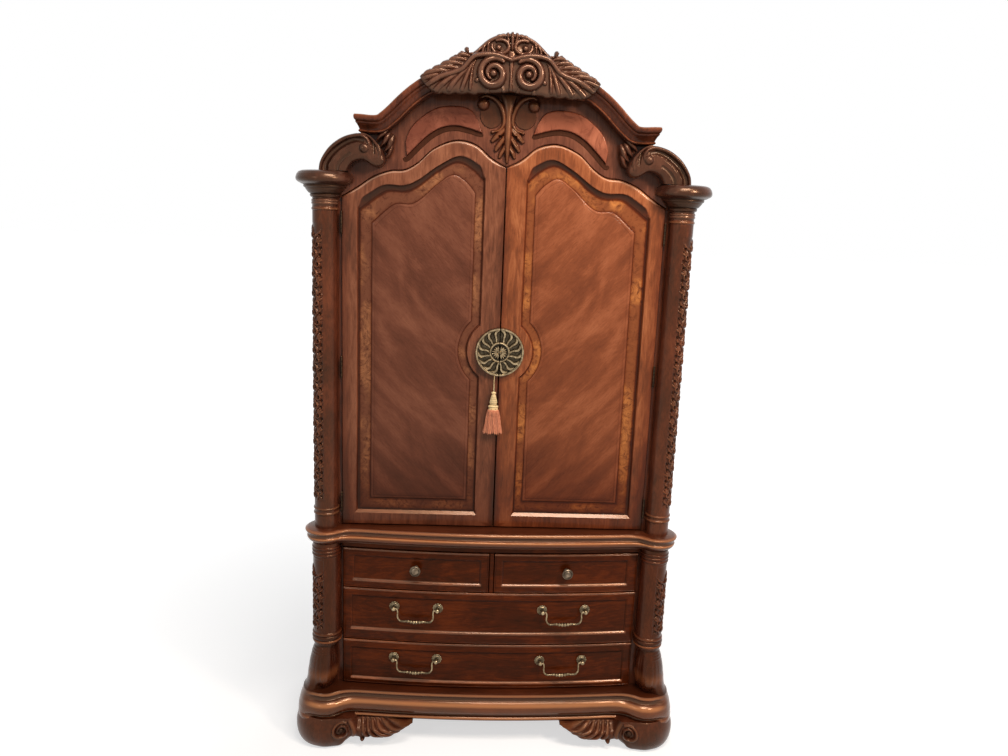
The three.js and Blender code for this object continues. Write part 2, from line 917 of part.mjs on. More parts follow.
const outerStile = 49;
const innerStile = 64;
const bottomRail = 47;
const topRail = 57;
const medallionShare = 0.5606; // of the door's height at its outer edge
const medallionHeight = medallionShare * doorShoulder; // above the doors' bottom
const bossRadius = 105;
const rebateWidth = 10;
const rebateDepth = 8;
const panelThickness = 8;
const fieldRise = 3;
const bandWidth = 40;
const innerBandWidth = 25;
const panelTopShares = [
  [0, 0.66],
  [0.09, 0.87],
  [0.22, 1],
  [0.375, 0.8],
  [0.525, 0.51],
  [0.63, 0.395],
  [0.77, 0.39],
  [0.875, 0.24],
  [1, 0],
];
const panelArch = 150;
const bossSteps = 8;
const panelTopSteps = 26;

// A door panel's outline, grown from the frame's opening by so much on each side.
// Its inner edge goes round the boss that carries the medallion.
function panelOutline(growInner, growOuter) {
  const x0 = meetingGap + innerStile - growInner;
  const x1 = doorEdge - outerStile + growOuter;
  const z0 = doorBottom + bottomRail - growOuter;
  const shoulder = doorBottom + doorShoulder + doorArch - topRail - panelArch;
  const top = smoothLine(panelTopShares, x1 - x0, panelArch, x0, shoulder + growOuter, panelTopSteps);
  const radius = bossRadius - growInner;
  const middle = doorBottom + medallionHeight;
  const half = Math.acos(x0 / radius);
  const boss = [];
  for (let i = 0; i <= bossSteps; i++) {
    const angle = half - (2 * half * i) / bossSteps;
    boss.push([radius * Math.cos(angle), middle + radius * Math.sin(angle)]);
  }
  return [...boss, [x0, z0], [x1, z0], ...top.reverse()];
}

function doorFrame() {
  const outline = [
    [meetingGap, doorBottom],
    [doorEdge, doorBottom],
    ...doorTopLine(meetingGap, doorEdge, 0).reverse(),
  ];
  const board = upright(shapeOf(outline), 0, doorThickness);
  const window = upright(shapeOf(panelOutline(0, 0)), -overrun, doorThickness + overrun);
  const rebate = upright(
    shapeOf(panelOutline(rebateWidth, rebateWidth)),
    rebateDepth,
    doorThickness + overrun,
  );
  return cutBy(board, window, rebate);
}
addPair("door_frame", doorFrame(), veneer);

// The panel lies in the frame's rebate and carries a raised field
function doorPanel() {
  const grow = rebateWidth - seam;
  const face = rebateDepth + seam;
  const panel = upright(shapeOf(panelOutline(grow, grow)), face, face + panelThickness);
  const field = upright(
    shapeOf(panelOutline(-innerBandWidth, -bandWidth)),
    face - fieldRise,
    face + panelThickness / 2,
  );
  return joined(panel, field);
}
addPair("door_panel", doorPanel(), veneer);

// Hinges: a barrel in front of the door's edge, and a leaf on the post
const barrelRadius = 3.5;
const barrelForward = 5.5;
const hingeLength = 60;
const leafReach = 30;
const hingeSegments = 16;
const hingeMargin = 45; // from the door's bottom, and from its shoulder less the hinge's length
const hingeHeights = {
  bottom: hingeMargin,
  middle: (doorShoulder - hingeLength) / 2,
  top: doorShoulder - hingeMargin - hingeLength,
};

function hinge() {
  const barrel = turned(
    [
      [barrelRadius, 0],
      [barrelRadius, hingeLength],
    ],
    hingeSegments,
  );
  const leaf = block(
    -leafThickness / 2,
    leafThickness / 2,
    0,
    barrelForward + leafReach,
    0,
    hingeLength,
  );
  return joined(barrel, leaf);
}
for (const [place, height] of Object.entries(hingeHeights)) {
  for (const [side, sign] of [["left", -1], ["right", 1]]) {
    const mesh = add("hinge_" + side + "_" + place, hinge(), brass);
    mesh.position.set(sign * pinX, -barrelForward, doorBottom + height);
  }
}

// Medallion in two halves, one on each door, with curved rays between hub and rim
const medallionRadius = 76;
const medallionPlate = 7;
const medallionRim = 6;
const rimForward = 16;
const hubRadius = 31;
const hubForward = 18;
const raysPerHalf = 8;
const rayShare = 0.42; // of the space between two windows
const rayTwist = 0.35; // radians that a ray turns from hub to rim
const windowMargin = 2;
const discSteps = 20;
const medallionZ = doorBottom + medallionHeight;

function halfDisc(radius) {
  const start = Math.acos(meetingGap / radius);
  const points = [];
  for (let i = 0; i <= discSteps; i++) {
    const angle = -start + (2 * start * i) / discSteps;
    points.push([radius * Math.cos(angle), medallionZ + radius * Math.sin(angle)]);
  }
  return points;
}

function medallionWindow(index) {
  const pitch = Math.PI / raysPerHalf;
  const width = pitch * (1 - rayShare);
  const from = hubRadius + windowMargin;
  const to = medallionRadius - medallionRim - windowMargin;
  const start = -Math.PI / 2 + pitch * index + (pitch - width) / 2;
  const at = (angle, radius) => [radius * Math.cos(angle), medallionZ + radius * Math.sin(angle)];
  const bend = rayTwist / 2;
  const middle = (from + to) / 2;
  return [
    at(start, from),
    at(start + bend, middle),
    at(start + bend / 2, to),
    at(start + bend / 2 + width, to),
    at(start + bend + width, middle),
    at(start + width, from),
  ].reverse();
}

function medallionHalf() {
  const back = -seam;
  const plate = upright(shapeOf(halfDisc(medallionRadius)), -medallionPlate, back);
  const inside = upright(
    shapeOf(halfDisc(medallionRadius - medallionRim)),
    -rimForward - overrun,
    -medallionPlate / 2,
  );
  const rim = cutBy(upright(shapeOf(halfDisc(medallionRadius)), -rimForward, back), inside);
  const hub = upright(shapeOf(halfDisc(hubRadius)), -hubForward, back);
  const windows = [];
  for (let i = 0; i < raysPerHalf; i++) {
    const outline = medallionWindow(i).filter(([x]) => x > meetingGap + windowMargin);
    if (outline.length > 3) {
      windows.push(upright(shapeOf(outline.reverse()), -medallionPlate - overrun, overrun));
    }
  }
  return joined(cutBy(plate, ...windows), rim, hub);
}
addPair("medallion", medallionHalf(), brass);

// Tassel on a short cord tied to the left half's rim; the skirt lies flat against the door
const cordRadius = 1.5;
const cordLength = 48;
const cordForward = 16;
const cordSides = 8;
const cordSetOut = 14;
const tasselHeadHeight = 58;
const tasselSkirtHeight = 80;
const tasselRadius = 29;
const tasselFlatness = 13; // half the skirt's depth
const tasselSegments = 16;
const tasselHeadShares = [
  [0.1, 0],
  [0.26, -0.12],
  [0.2, -0.3],
  [0.38, -0.5],
  [0.46, -0.8],
  [0.34, -1],
];
const tasselSkirtShares = [
  [0.5, -0.1],
  [0.76, -0.5],
  [0.95, -0.9],
  [1, -1],
];
const cordTop = medallionZ - Math.sqrt(medallionRadius ** 2 - cordSetOut ** 2) - 2 * seam;

function tasselCord() {
  const top = new THREE.Vector3(0, 0, cordTop);
  const foot = new THREE.Vector3(0, 0, cordTop - cordLength);
  const section = new THREE.Shape(
    Array.from({ length: cordSides }, (_, i) => {
      const angle = (2 * Math.PI * i) / cordSides;
      return new THREE.Vector2(cordRadius * Math.cos(angle), cordRadius * Math.sin(angle));
    }),
  );
  const path = new THREE.CatmullRomCurve3([top, foot]);
  return new THREE.ExtrudeGeometry(section, { steps: cordSides, extrudePath: path });
}

function tassel() {
  const top = cordTop - cordLength - seam;
  const profile = [
    ...scaled(tasselHeadShares, tasselRadius, tasselHeadHeight, 0, top),
    ...scaled(tasselSkirtShares, tasselRadius, tasselSkirtHeight, 0, top - tasselHeadHeight),
  ];
  return turned(profile.reverse(), tasselSegments).scale(1, tasselFlatness / tasselRadius, 1);
}
const tasselGroup = new THREE.Group();
tasselGroup.position.set(-cordSetOut, -cordForward, 0);
armoire.add(tasselGroup);
add("tassel_cord", tasselCord(), silk, tasselGroup);
add("tassel", tassel(), silk, tasselGroup);

// Tympanum behind the doors' arches, with its carved pendant
const corniceShares = [
  [1, 0],
  [0.905, -0.016],
  [0.835, 0.025],
  [0.784, 0.14],
  [0.733, 0.29],
  [0.677, 0.477],
  [0.626, 0.633],
  [0.575, 0.766],
  [0.515, 0.883],
  [0.4, 0.94],
  [0.2, 0.98],
  [0, 1],
];
const corniceSteps = 30;
const corniceHalfLine = smoothLine(
  corniceShares,
  corniceHalf,
  corniceRise,
  0,
  corniceFoot,
  corniceSteps,
);
const lintelDrop = 20; // tympanum's lower edge below the doors' shoulders
const tympanumShoulder = 65;
const tympanumInset = 15;
const pendantHalf = 96;
const pendantHeight = 202;
const pendantForward = 18;
const pendantShares = [
  [0.3, 0],
  [0.65, -0.02],
  [0.93, -0.07],
  [1, -0.15],
  [0.87, -0.21],
  [0.68, -0.2],
  [0.45, -0.24],
  [0.28, -0.36],
  [0.32, -0.49],
  [0.44, -0.54],
  [0.35, -0.64],
  [0.2, -0.71],
  [0.14, -0.82],
  [0.1, -0.93],
  [0, -1],
];

function tympanum() {
  const half = openingHalf - seam;
  const lower = corniceHalfLine.map(([x, z]) => [x, z - seam]);
  const right = [
    [half, doorBottom + doorShoulder - lintelDrop],
    [half, cabinetTop + tympanumShoulder],
    [half - tympanumInset, cabinetTop + tympanumShoulder + tympanumInset],
    ...lower,
  ];
  const board = upright(shapeOf([...right, ...mirroredLine(right)]), facadeSetback, tympanumBack);
  const doorway = doorTopLine(0, half + overrun, workingGap).reverse();
  const floor = doorBottom + doorShoulder - lintelDrop - overrun;
  const pocket = upright(
    shapeOf([[half + overrun, floor], ...doorway, ...mirroredLine(doorway), [-half - overrun, floor]]),
    facadeSetback - overrun,
    doorStop,
  );
  const pendantRight = scaled(
    pendantShares,
    pendantHalf,
    pendantHeight,
    0,
    corniceFoot + corniceRise - 2 * seam - corniceTongue,
  );
  const pendant = upright(
    shapeOf([...pendantRight, ...mirroredLine(pendantRight)].reverse()),
    -pendantForward,
    facadeSetback + overrun,
  );
  return joined(cutBy(board, pocket), pendant);
}
const corniceTongue = 4; // the pendant's top below the cornice's middle

// The cornice: a moulding swept along the curve, its ends flared like its front
const corniceBack = 60;
// Rows of height across the curve and forward place, each as a share
const corniceSectionShares = [
  [0, 0.56],
  [0.16, 0.56],
  [0.22, 0.66],
  [0.5, 0.74],
  [0.72, 0.9],
  [0.78, 1],
  [1, 1],
];
const corniceForward = 60;

function cornice() {
  const path = [...corniceHalfLine, ...mirroredLine(corniceHalfLine)];
  const rings = path.map(([x, z], i) => {
    const [xa, za] = path[Math.max(i - 1, 0)];
    const [xb, zb] = path[Math.min(i + 1, path.length - 1)];
    const length = Math.hypot(xb - xa, zb - za);
    const normal = [(zb - za) / length, (xa - xb) / length];
    const end = i === 0 ? 1 : i === path.length - 1 ? -1 : 0;
    const front = corniceSectionShares.map(([up, out]) => {
      const least = corniceSectionShares[0][1];
      const flare = (end * corniceFlare * (out - least)) / (1 - least);
      const height = up * corniceDepthUp;
      const place = [x + normal[0] * height + flare, z + normal[1] * height];
      return [place[0], -out * corniceForward, place[1]];
    });
    const top = front.at(-1);
    const foot = front[0];
    return [...front, [top[0], corniceBack, top[2]], [foot[0], corniceBack, foot[2]]];
  });
  return loft(rings);
}
add("tympanum", tympanum(), caseWood);
add("cornice", cornice(), caseWood);

// Scroll arms from the capitals up to the cornice
const armWidth = 207;
const armSetOut = 6; // arm's outer edge beyond the column's axis
const armInner = cornerSetOut + armSetOut - armWidth;
const armForward = 45;
const armSteps = 40;
const armShares = [
  [1, 0],
  [0.97, 0.16],
  [0.875, 0.46],
  [0.72, 0.735],
  [0.555, 0.925],
  [0.44, 0.99],
  [0.3, 0.98],
  [0.12, 0.97],
  [0.03, 0.94],
  [0, 0.72],
  [0.06, 0.44],
  [0.126, 0.22],
  [0.21, 0.1],
  [0.295, 0.127],
  [0.37, 0.255],
  [0.45, 0.28],
  [0.53, 0.22],
  [0.594, 0.1],
  [0.62, 0],
];

function arm() {
  const height = corniceLift - 3 * seam - armHeadroom;
  const outline = smoothLine(armShares, armWidth, height, armInner, cabinetTop + seam, armSteps);
  return upright(shapeOf(outline), -armForward, facadeSetback - seam);
}
const armHeadroom = 3;
addPair("arm", arm(), carvedWood);

// Crest: a carved shell on the cornice's front, with two pairs of volutes
const crestForward = 98;
const crestTopShares = [
  [1, 0.27],
  [0.91, 0.315],
  [0.83, 0.36],
  [0.75, 0.44],
  [0.63, 0.555],
  [0.557, 0.64],
  [0.535, 0.71],
  [0.495, 0.71],
  [0.46, 0.645],
  [0.4, 0.675],
  [0.345, 0.755],
  [0.28, 0.85],
  [0.2, 0.925],
  [0.1, 0.965],
  [0, 1],
];
const crestFootShares = [
  [0, 0.19],
  [0.08, 0.13],
  [0.18, 0.09],
  [0.34, 0.025],
  [0.6, 0],
  [0.78, 0.01],
  [0.88, 0.07],
  [0.96, 0.14],
];
const voluteForward = 14;
const voluteSegments = 18;
const largeVolute = { radius: 43, setOut: 46, lift: 52 };
const smallVolute = { radius: 23, setOut: 49, lift: 118 };

function crest() {
  const foot = scaled(crestFootShares, crestHalf, crestHeight, 0, crestBottom);
  const top = scaled(crestTopShares, crestHalf, crestHeight, 0, crestBottom);
  const right = [...foot, ...top];
  const left = mirroredLine(right);
  const body = upright(shapeOf([...right, ...left]), -crestForward, -corniceForward - seam);
  const pairs = [largeVolute, smallVolute].flatMap((size) =>
    [-1, 1].map((side) => {
      const disc = new THREE.CylinderGeometry(
        size.radius,
        size.radius,
        2 * voluteForward,
        voluteSegments,
      );
      return disc.translate(side * size.setOut, -crestForward, crestBottom + size.lift);
    }),
  );
  return joined(body, ...pairs);
}
add("crest", crest(), carvedWood);

// Centre the whole between its front and its back
const frontmost = Math.max(crestForward + voluteForward, cornerForward + footRadius);
armoire.position.y = (frontmost - caseDepth) / 2;

const part = new THREE.Group();
part.add(armoire);
export default part;
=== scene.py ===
"""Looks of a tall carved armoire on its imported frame.

Lengths are in millimetres from the closed doors' face, as the joiner measures: X to the right
of the middle, Y backwards, Z up from the floor. to_frame() turns them into the frame's metres.
"""

import math

import bmesh
import bpy
import numpy as np
from mathutils import Matrix, Vector


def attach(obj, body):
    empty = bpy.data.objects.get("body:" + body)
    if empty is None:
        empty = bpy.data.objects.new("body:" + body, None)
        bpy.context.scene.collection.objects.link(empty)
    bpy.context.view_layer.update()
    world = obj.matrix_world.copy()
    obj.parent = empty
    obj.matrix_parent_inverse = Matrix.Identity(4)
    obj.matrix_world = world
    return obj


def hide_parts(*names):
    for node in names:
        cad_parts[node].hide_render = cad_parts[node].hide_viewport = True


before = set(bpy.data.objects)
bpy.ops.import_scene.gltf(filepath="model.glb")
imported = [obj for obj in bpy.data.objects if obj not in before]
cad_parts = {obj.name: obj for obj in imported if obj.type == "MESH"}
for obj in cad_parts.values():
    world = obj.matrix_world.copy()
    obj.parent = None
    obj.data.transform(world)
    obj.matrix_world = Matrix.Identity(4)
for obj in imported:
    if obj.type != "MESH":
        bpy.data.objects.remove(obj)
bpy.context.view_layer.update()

# Heights

APRON = 92.0
CHEST_BOTTOM = 187.3
CHEST_TOP = 697.0
WAIST_BOTTOM = 697.3
CABINET_BOTTOM = 748.3
CABINET_TOP = 1855.3
DOOR_BOTTOM = 751.3
DOOR_SHOULDER = 1782.3
DOOR_RISE = 174.0
MEDALLION_Z = 1329.28
CORNICE_FOOT = 1967.3
CORNICE_RISE = 130.0

# Widths from the middle, and depths

CASE_HALF = 560.0
CHEST_HALF = 566.0
OPENING_HALF = 489.4
DOOR_HALF = 487.6
DOOR_EDGE = 1.5
DRAWER_HALF = 484.0
CORNICE_HALF = 431.0
CORNER_OUT = 536.0
CORNER_Y = -8.0
CORNER = (CORNER_OUT, CORNER_Y)  # the axis of foot, pilaster and column
COLUMN_BACK = 7.7
POST_INNER = 487.0
POST_FACE = 8.0
CHEST_BACK = 513.7

DOOR_FACE = -209.0  # the doors' face in the frame, which is centred front to back

SIDES = (("left", -1), ("right", 1))


def to_frame(points):
    """Points in millimetres from the doors' face, as metres in the frame."""
    return (np.asarray(points, float) + [0.0, DOOR_FACE, 0.0]) / 1000.0


def in_scene(name, data):
    """A new object of the scene that shows the mesh, camera or lamp."""
    made = bpy.data.objects.new(name, data)
    bpy.context.scene.collection.objects.link(made)
    return made


# Camera, at the photograph's angle

CAMERA_TURN = (2.547, -11.518, 2.270)  # yaw, pitch and roll in degrees
CAMERA_EYE = (-92.3, -2457.6, 1748.0)
FOCAL_SHARE = 800.0 / 1008.0  # focal length over the picture's width


def place_camera():
    """Camera from yaw, pitch and roll: forward = (sin y cos p, cos y cos p, sin p), rolled about it."""
    yaw, pitch, roll = (math.radians(angle) for angle in CAMERA_TURN)
    forward = np.array([math.sin(yaw) * math.cos(pitch), math.cos(yaw) * math.cos(pitch), math.sin(pitch)])
    level = np.array([math.cos(yaw), -math.sin(yaw), 0.0])
    above = np.cross(level, forward)
    right = math.cos(roll) * level + math.sin(roll) * above
    up = -math.sin(roll) * level + math.cos(roll) * above
    eye = to_frame(CAMERA_EYE)
    data = bpy.data.cameras.new("camera")
    data.sensor_width = 36.0
    data.lens = FOCAL_SHARE * data.sensor_width
    data.clip_end = 80.0
    camera = in_scene("camera", data)
    rows = [[right[i], up[i], -forward[i], eye[i]] for i in range(3)]
    camera.matrix_world = Matrix(rows + [[0.0, 0.0, 0.0, 1.0]])
    bpy.context.scene.camera = camera


place_camera()
bpy.context.scene.view_settings.view_transform = "Standard"


# Lines and shares

def spline(points, count):
    """Count points on the cubic through the points: slopes are half the difference of the neighbours."""
    points = np.asarray(points, float)
    last = len(points) - 1
    place = np.linspace(0.0, last, count)
    i = np.minimum(place.astype(int), last - 1)
    t = (place - i)[:, None]
    before, a, b, after = (points[np.clip(i + k, 0, last)] for k in (-1, 0, 1, 2))
    da = (b - before) / 2.0
    db = (after - a) / 2.0
    return (2 * a - 2 * b + da + db) * t**3 + (3 * b - 3 * a - 2 * da - db) * t**2 + da * t + a


def run_of(line):
    """Length along a line up to each of its points."""
    return np.concatenate([[0.0], np.cumsum(np.linalg.norm(np.diff(line, axis=0), axis=1))])


def even(line, count):
    """The same line in steps of equal length: each point lies at share k / (count - 1) of the whole run."""
    run = run_of(line)
    at = np.linspace(0.0, run[-1], count)
    return np.stack([np.interp(at, run, line[:, k]) for k in range(line.shape[1])], axis=1)


def heading(line):
    """Direction of a line at each of its points."""
    run = np.gradient(line, axis=0)
    return run / (np.linalg.norm(run, axis=1, keepdims=True) + 1e-9)


def rising(rows, count):
    """Spline through rows [width, height] that never turns back in height, as two rows of numbers."""
    line = spline(rows, count)
    return line[:, 0], np.maximum.accumulate(line[:, 1])


def toward(a, b, share):
    """From a to b by a share."""
    return a + (b - a) * share


def ease(x, low, high):
    """0 below low, 1 above high, and 3t^2 - 2t^3 between."""
    t = np.clip((np.asarray(x, float) - low) / (high - low), 0.0, 1.0)
    return t * t * (3.0 - 2.0 * t)


def between(x, a, b, c, d):
    """0 up to a, 1 from b to c and 0 from d on, eased."""
    return ease(x, a, b) * ease(-x, -d, -c)


def quarter(x):
    """Quarter round: sqrt(1 - (1 - x)^2) from 0 at x = 0 up to 1 from x = 1 on."""
    return np.sqrt(1.0 - (1.0 - np.clip(x, 0.0, 1.0)) ** 2)


def dome(x):
    """sqrt(1 - x^2), and 0 where |x| is over 1."""
    return np.sqrt(np.clip(1.0 - x**2, 0.0, 1.0))


def bell(x):
    """exp(-x^2)."""
    return np.exp(-(x**2))


def angles(count):
    """Angles of a full turn in count steps."""
    return np.linspace(0.0, 2.0 * np.pi, count, endpoint=False)


def flat_line(x, z):
    """Places [x, z], either given once where it is the same for all."""
    return np.stack(np.broadcast_arrays(x, z), axis=-1)


def xyz(x, y, z):
    """Points from their three coordinates, each given for all of them or drawn out to their shape."""
    return np.stack(np.broadcast_arrays(x, y, z), axis=-1).astype(float)


# Skins: closed surfaces as points, four-sided faces, and how hollow each point lies, for painted shade

def tube(rings, hollow=0.0, ends=True):
    """Closed skin through rings (rows, columns, 3); ends draws the first and last ring to their middles."""
    hollow = np.broadcast_to(hollow, rings.shape[:2])
    if ends:
        foot = np.repeat(rings[:1].mean(axis=1, keepdims=True), rings.shape[1], axis=1)
        head = np.repeat(rings[-1:].mean(axis=1, keepdims=True), rings.shape[1], axis=1)
        rings = np.concatenate([foot, rings, head])
        hollow = np.concatenate([hollow[:1], hollow, hollow[-1:]])
    rows, columns = rings.shape[:2]
    i = np.arange(rows - 1)[:, None] * columns
    j = np.arange(columns)[None, :]
    k = (j + 1) % columns
    faces = np.stack([i + j, i + k, i + columns + k, i + columns + j], axis=-1)
    return rings.reshape(-1, 3), faces.reshape(-1, 4), hollow.reshape(-1)


def slab(front, back, hollow=0.0):
    """Closed skin between two grids (rows, columns, 3) of one shape, with a strip round their edges."""
    rows, columns = front.shape[:2]
    hollow = np.broadcast_to(hollow, (rows, columns)).reshape(-1)
    i = np.arange(rows - 1)[:, None] * columns
    j = np.arange(columns - 1)[None, :]
    quads = np.stack([i + j, i + j + 1, i + columns + j + 1, i + columns + j], axis=-1).reshape(-1, 4)
    index = np.arange(rows * columns).reshape(rows, columns)
    rim = np.concatenate([index[0, :-1], index[:-1, -1], index[-1, :0:-1], index[:0:-1, 0]])
    ahead = np.roll(rim, -1)
    size = rows * columns
    strip = np.stack([rim, rim + size, ahead + size, ahead], axis=-1)
    points = np.concatenate([front.reshape(-1, 3), back.reshape(-1, 3)])
    faces = np.concatenate([quads, quads[:, ::-1] + size, strip])
    return points, faces, np.concatenate([hollow, hollow])


def at_depth(flat, y):
    """Places [x, z] set at depth y."""
    return xyz(flat[..., 0], y, flat[..., 1])


def backed(front, y, hollow=0.0):
    """Closed skin between a grid and the same grid laid flat at depth y."""
    return slab(front, at_depth(front[..., [0, 2]], y), hollow)


def mirrored(skin, side):
    """The skin on the right (side 1) or turned over to the left (side -1): x becomes side x."""
    return skin[0] * [side, 1.0, 1.0], skin[1], skin[2]


def cut_at(skin, x):
    """The skin with everything inward of x flattened onto it."""
    skin[0][:, 0] = np.maximum(skin[0][:, 0], x)
    return skin


def about(axis, radius, angle, z, flat=1.0):
    """Rings about the upright axis (x, y): (x + r cos a, y + flat r sin a, z)."""
    return xyz(axis[0] + radius * np.cos(angle), axis[1] + flat * radius * np.sin(angle), z)


def ball(x, y, z, radius, flat=1.0, around=20):
    """Pearl: (x + r cos a cos b, y + flat r sin b, z + r sin a cos b), its poles front and back."""
    tilt = np.linspace(-np.pi / 2, np.pi / 2, around // 2 + 1)[1:-1, None]
    angle = angles(around)[None, :]
    reach = radius * np.cos(tilt)
    skin = tube(xyz(x + reach * np.cos(angle), y + flat * radius * np.sin(tilt), z + reach * np.sin(angle)))
    skin[0][:around, 1] = y - flat * radius
    skin[0][-around:, 1] = y + flat * radius
    return skin


# Carved bands; a section runs from one edge s = -1 to the other s = 1

SECTIONS = {
    "round": dome,
    "reed": lambda s: np.clip(1.0 - s * s, 0.0, 1.0) ** 0.7 * (1.0 - 0.16 * bell(s / 0.16)),
    "flute": lambda s: (
        1.0 - 0.62 * np.clip(1.0 - (s / 0.72) ** 2, 0.0, 1.0) ** 0.8 - 0.75 * ease(abs(s), 0.86, 1.0)
    ),
}


def band(line, width, height, base, section="round", sink=3.0, sides=9):
    """Carved band on a line of [x, z] points, width and height given for each of them or once.

    Point (t, s) = line(t) + s width(t) / 2 across the line, at y = base - height(t) section(s).
    """
    count = len(line)
    width, height = (np.broadcast_to(v, (count,)).astype(float) for v in (width, height))
    run = heading(line)
    normal = np.stack([-run[:, 1], run[:, 0]], axis=1)
    s = np.sin(np.linspace(-np.pi / 2, np.pi / 2, sides))
    rise = SECTIONS[section](s)
    flat = line[:, None] + normal[:, None] * (s[:, None] * width[:, None, None] / 2.0)
    front = at_depth(flat, base - height[:, None] * rise)
    back = at_depth(flat[:, [-1, 0]], base + sink)
    # Painted shade, darker toward the band's edges and on its back.
    hollow = np.append(1.0 - rise / rise.max(), [1.0, 1.0])
    return tube(np.concatenate([front, back], axis=1), np.clip(hollow, 0.0, 1.0))


def blade(points, width, height, base, steps=22, blunt=0.62):
    """Carved leaf lobe: a band that starts narrow, is widest at the share blunt and ends in a round tip.

    Its width is width (0.3 + 0.7 sin(pi t / 2 blunt)) up to blunt, then width sqrt(1 - u^2) to the tip.
    """
    line = even(spline(points, 4 * steps), steps)
    t = np.sin(np.linspace(0.0, np.pi / 2, steps)) ** 1.15
    line = np.stack([np.interp(t, np.linspace(0, 1, steps), line[:, k]) for k in range(2)], axis=1)
    swell = 0.3 + 0.7 * np.sin(np.minimum(t / blunt, 1.0) * np.pi / 2)
    tip = dome(np.maximum(t - blunt, 0.0) / (1.0 - blunt))
    rise = height * (0.55 + 0.45 * np.sin(np.pi * np.minimum(t, 0.9))) * np.maximum(tip, 0.1) ** 0.6
    return band(line, width * swell * np.maximum(tip, 0.02), rise, base)


def spiral(x, z, outer, inner, turns, start, hand, steps):
    """Line that winds in: radius = inner + (outer - inner)(1 - t)^1.15 at angle start + hand 2 pi turns t."""
    t = np.linspace(0.0, 1.0, steps)
    radius = inner + (outer - inner) * (1.0 - t) ** 1.15
    angle = np.radians(start) + hand * 2.0 * np.pi * turns * t
    return flat_line(x + radius * np.cos(angle), z + radius * np.sin(angle))


# Carving as heights over a face, gouged stroke by stroke

STROKES = {
    "round": lambda s, side: (1.0 - s * s) ** 0.7,
    "reed": lambda s, side: (1.0 - s * s) ** 0.7 * (1.0 - 0.22 * bell(s / 0.2)),
    "shingle": lambda s, side: (1.0 - s * s) ** 0.6 * (0.82 + 0.3 * s * side),
    "dome": lambda s, side: np.sqrt(1.0 - s * s),
}


def along(values, t):
    """Values set out evenly over 0 to 1, read off at t."""
    values = np.atleast_1d(np.asarray(values, float))
    return np.interp(t, np.linspace(0.0, 1.0, len(values)), values)


def stroke_at(x, z, points, width):
    """Nearest place t (0 to 1) on the spline through the points, the offset over half the width, its side."""
    line = spline(points, 4 * len(points) + 6)
    start, run = line[:-1], np.diff(line, axis=0)
    from_start = np.stack([x, z], axis=-1)[:, None, :] - start
    length = (run * run).sum(axis=1) + 1e-9
    share = np.clip((from_start * run).sum(axis=-1) / length, 0.0, 1.0)
    off = from_start - share[..., None] * run
    distance = np.sqrt((off * off).sum(axis=-1))
    nearest = distance.argmin(axis=1)
    row = np.arange(len(nearest))
    t = (nearest + share[row, nearest]) / len(run)
    turn = run[nearest, 0] * off[row, nearest, 1] - run[nearest, 1] * off[row, nearest, 0]
    return t, distance[row, nearest] / (along(width, t) / 2.0), np.sign(turn)


def carve(x, z, ground, dark, strokes):
    """Heights of a carved face at the points (x, z), and how hollow they lie.

    A stroke (points, width, rise, lift, section) stands lift(t) + rise(t) section(s) high where its
    offset s is under 1, and the highest stroke is the one that shows; where rise is below 0 it cuts in.
    """
    height = np.array(ground + 0.0 * x, float)
    # The ground between the strokes takes painted shade of share dark.
    hollow = np.array(dark + 0.0 * x, float)
    for points, width, rise, lift, section in strokes:
        points = np.asarray(points, float)
        reach = np.max(width) / 2.0 + 2.0
        near = (x > points[:, 0].min() - reach) & (x < points[:, 0].max() + reach)
        near &= (z > points[:, 1].min() - reach) & (z < points[:, 1].max() + reach)
        if not near.any():
            continue
        t, s, side = stroke_at(x[near], z[near], points, width)
        inside = s < 1.0
        s = np.minimum(s, 1.0)
        up = along(rise, t) * STROKES[section](s, side)
        old, shade = height[near], hollow[near]
        # A cut takes painted shade, darkest along its middle.
        if np.min(rise) < 0.0:
            height[near] = np.where(inside, old + up, old)
            hollow[near] = np.where(inside, np.maximum(shade, 1.0 - s**3), shade)
        else:
            up = up + along(lift, t)
            shows = inside & (up > old)
            height[near] = np.where(shows, up, old)
            # A stroke's edges take painted shade and its crest a faint painted highlight.
            hollow[near] = np.where(shows, 0.85 * s**5 - 0.14 * (1.0 - s * s) ** 2, shade)
    return height, hollow


def pearl(x, z, radius, lift, rise=1.0):
    """Stroke that stands as a round pearl."""
    return ([[x, z], [x + 0.1, z]], 2.0 * radius, rise * radius, lift, "dome")


# Pieces

def weld(points, faces):
    """Points within a hundredth of a millimetre become one; a face that closes on itself loses a corner."""
    keys = np.round(points * 100.0).astype(np.int64)
    _, first, place = np.unique(keys, axis=0, return_index=True, return_inverse=True)
    faces = place.reshape(-1)[faces]
    same = faces == np.roll(faces, -1, axis=1)
    count = same.sum(axis=1)
    folded = faces[count == 1][~same[count == 1]].reshape(-1, 3)
    return points[first], faces[count == 0], folded, first


def give_second_finish(made, finish, chosen):
    """Gives a second finish to the faces whose middle (x, y, z), in millimetres, is chosen."""
    middles = np.empty(3 * len(made.data.polygons))
    made.data.polygons.foreach_get("center", middles)
    middles = middles.reshape(-1, 3) * 1000.0 - [0.0, DOOR_FACE, 0.0]
    made.data.materials.append(finish)
    made.data.polygons.foreach_set("material_index", chosen(middles).astype(np.int32))


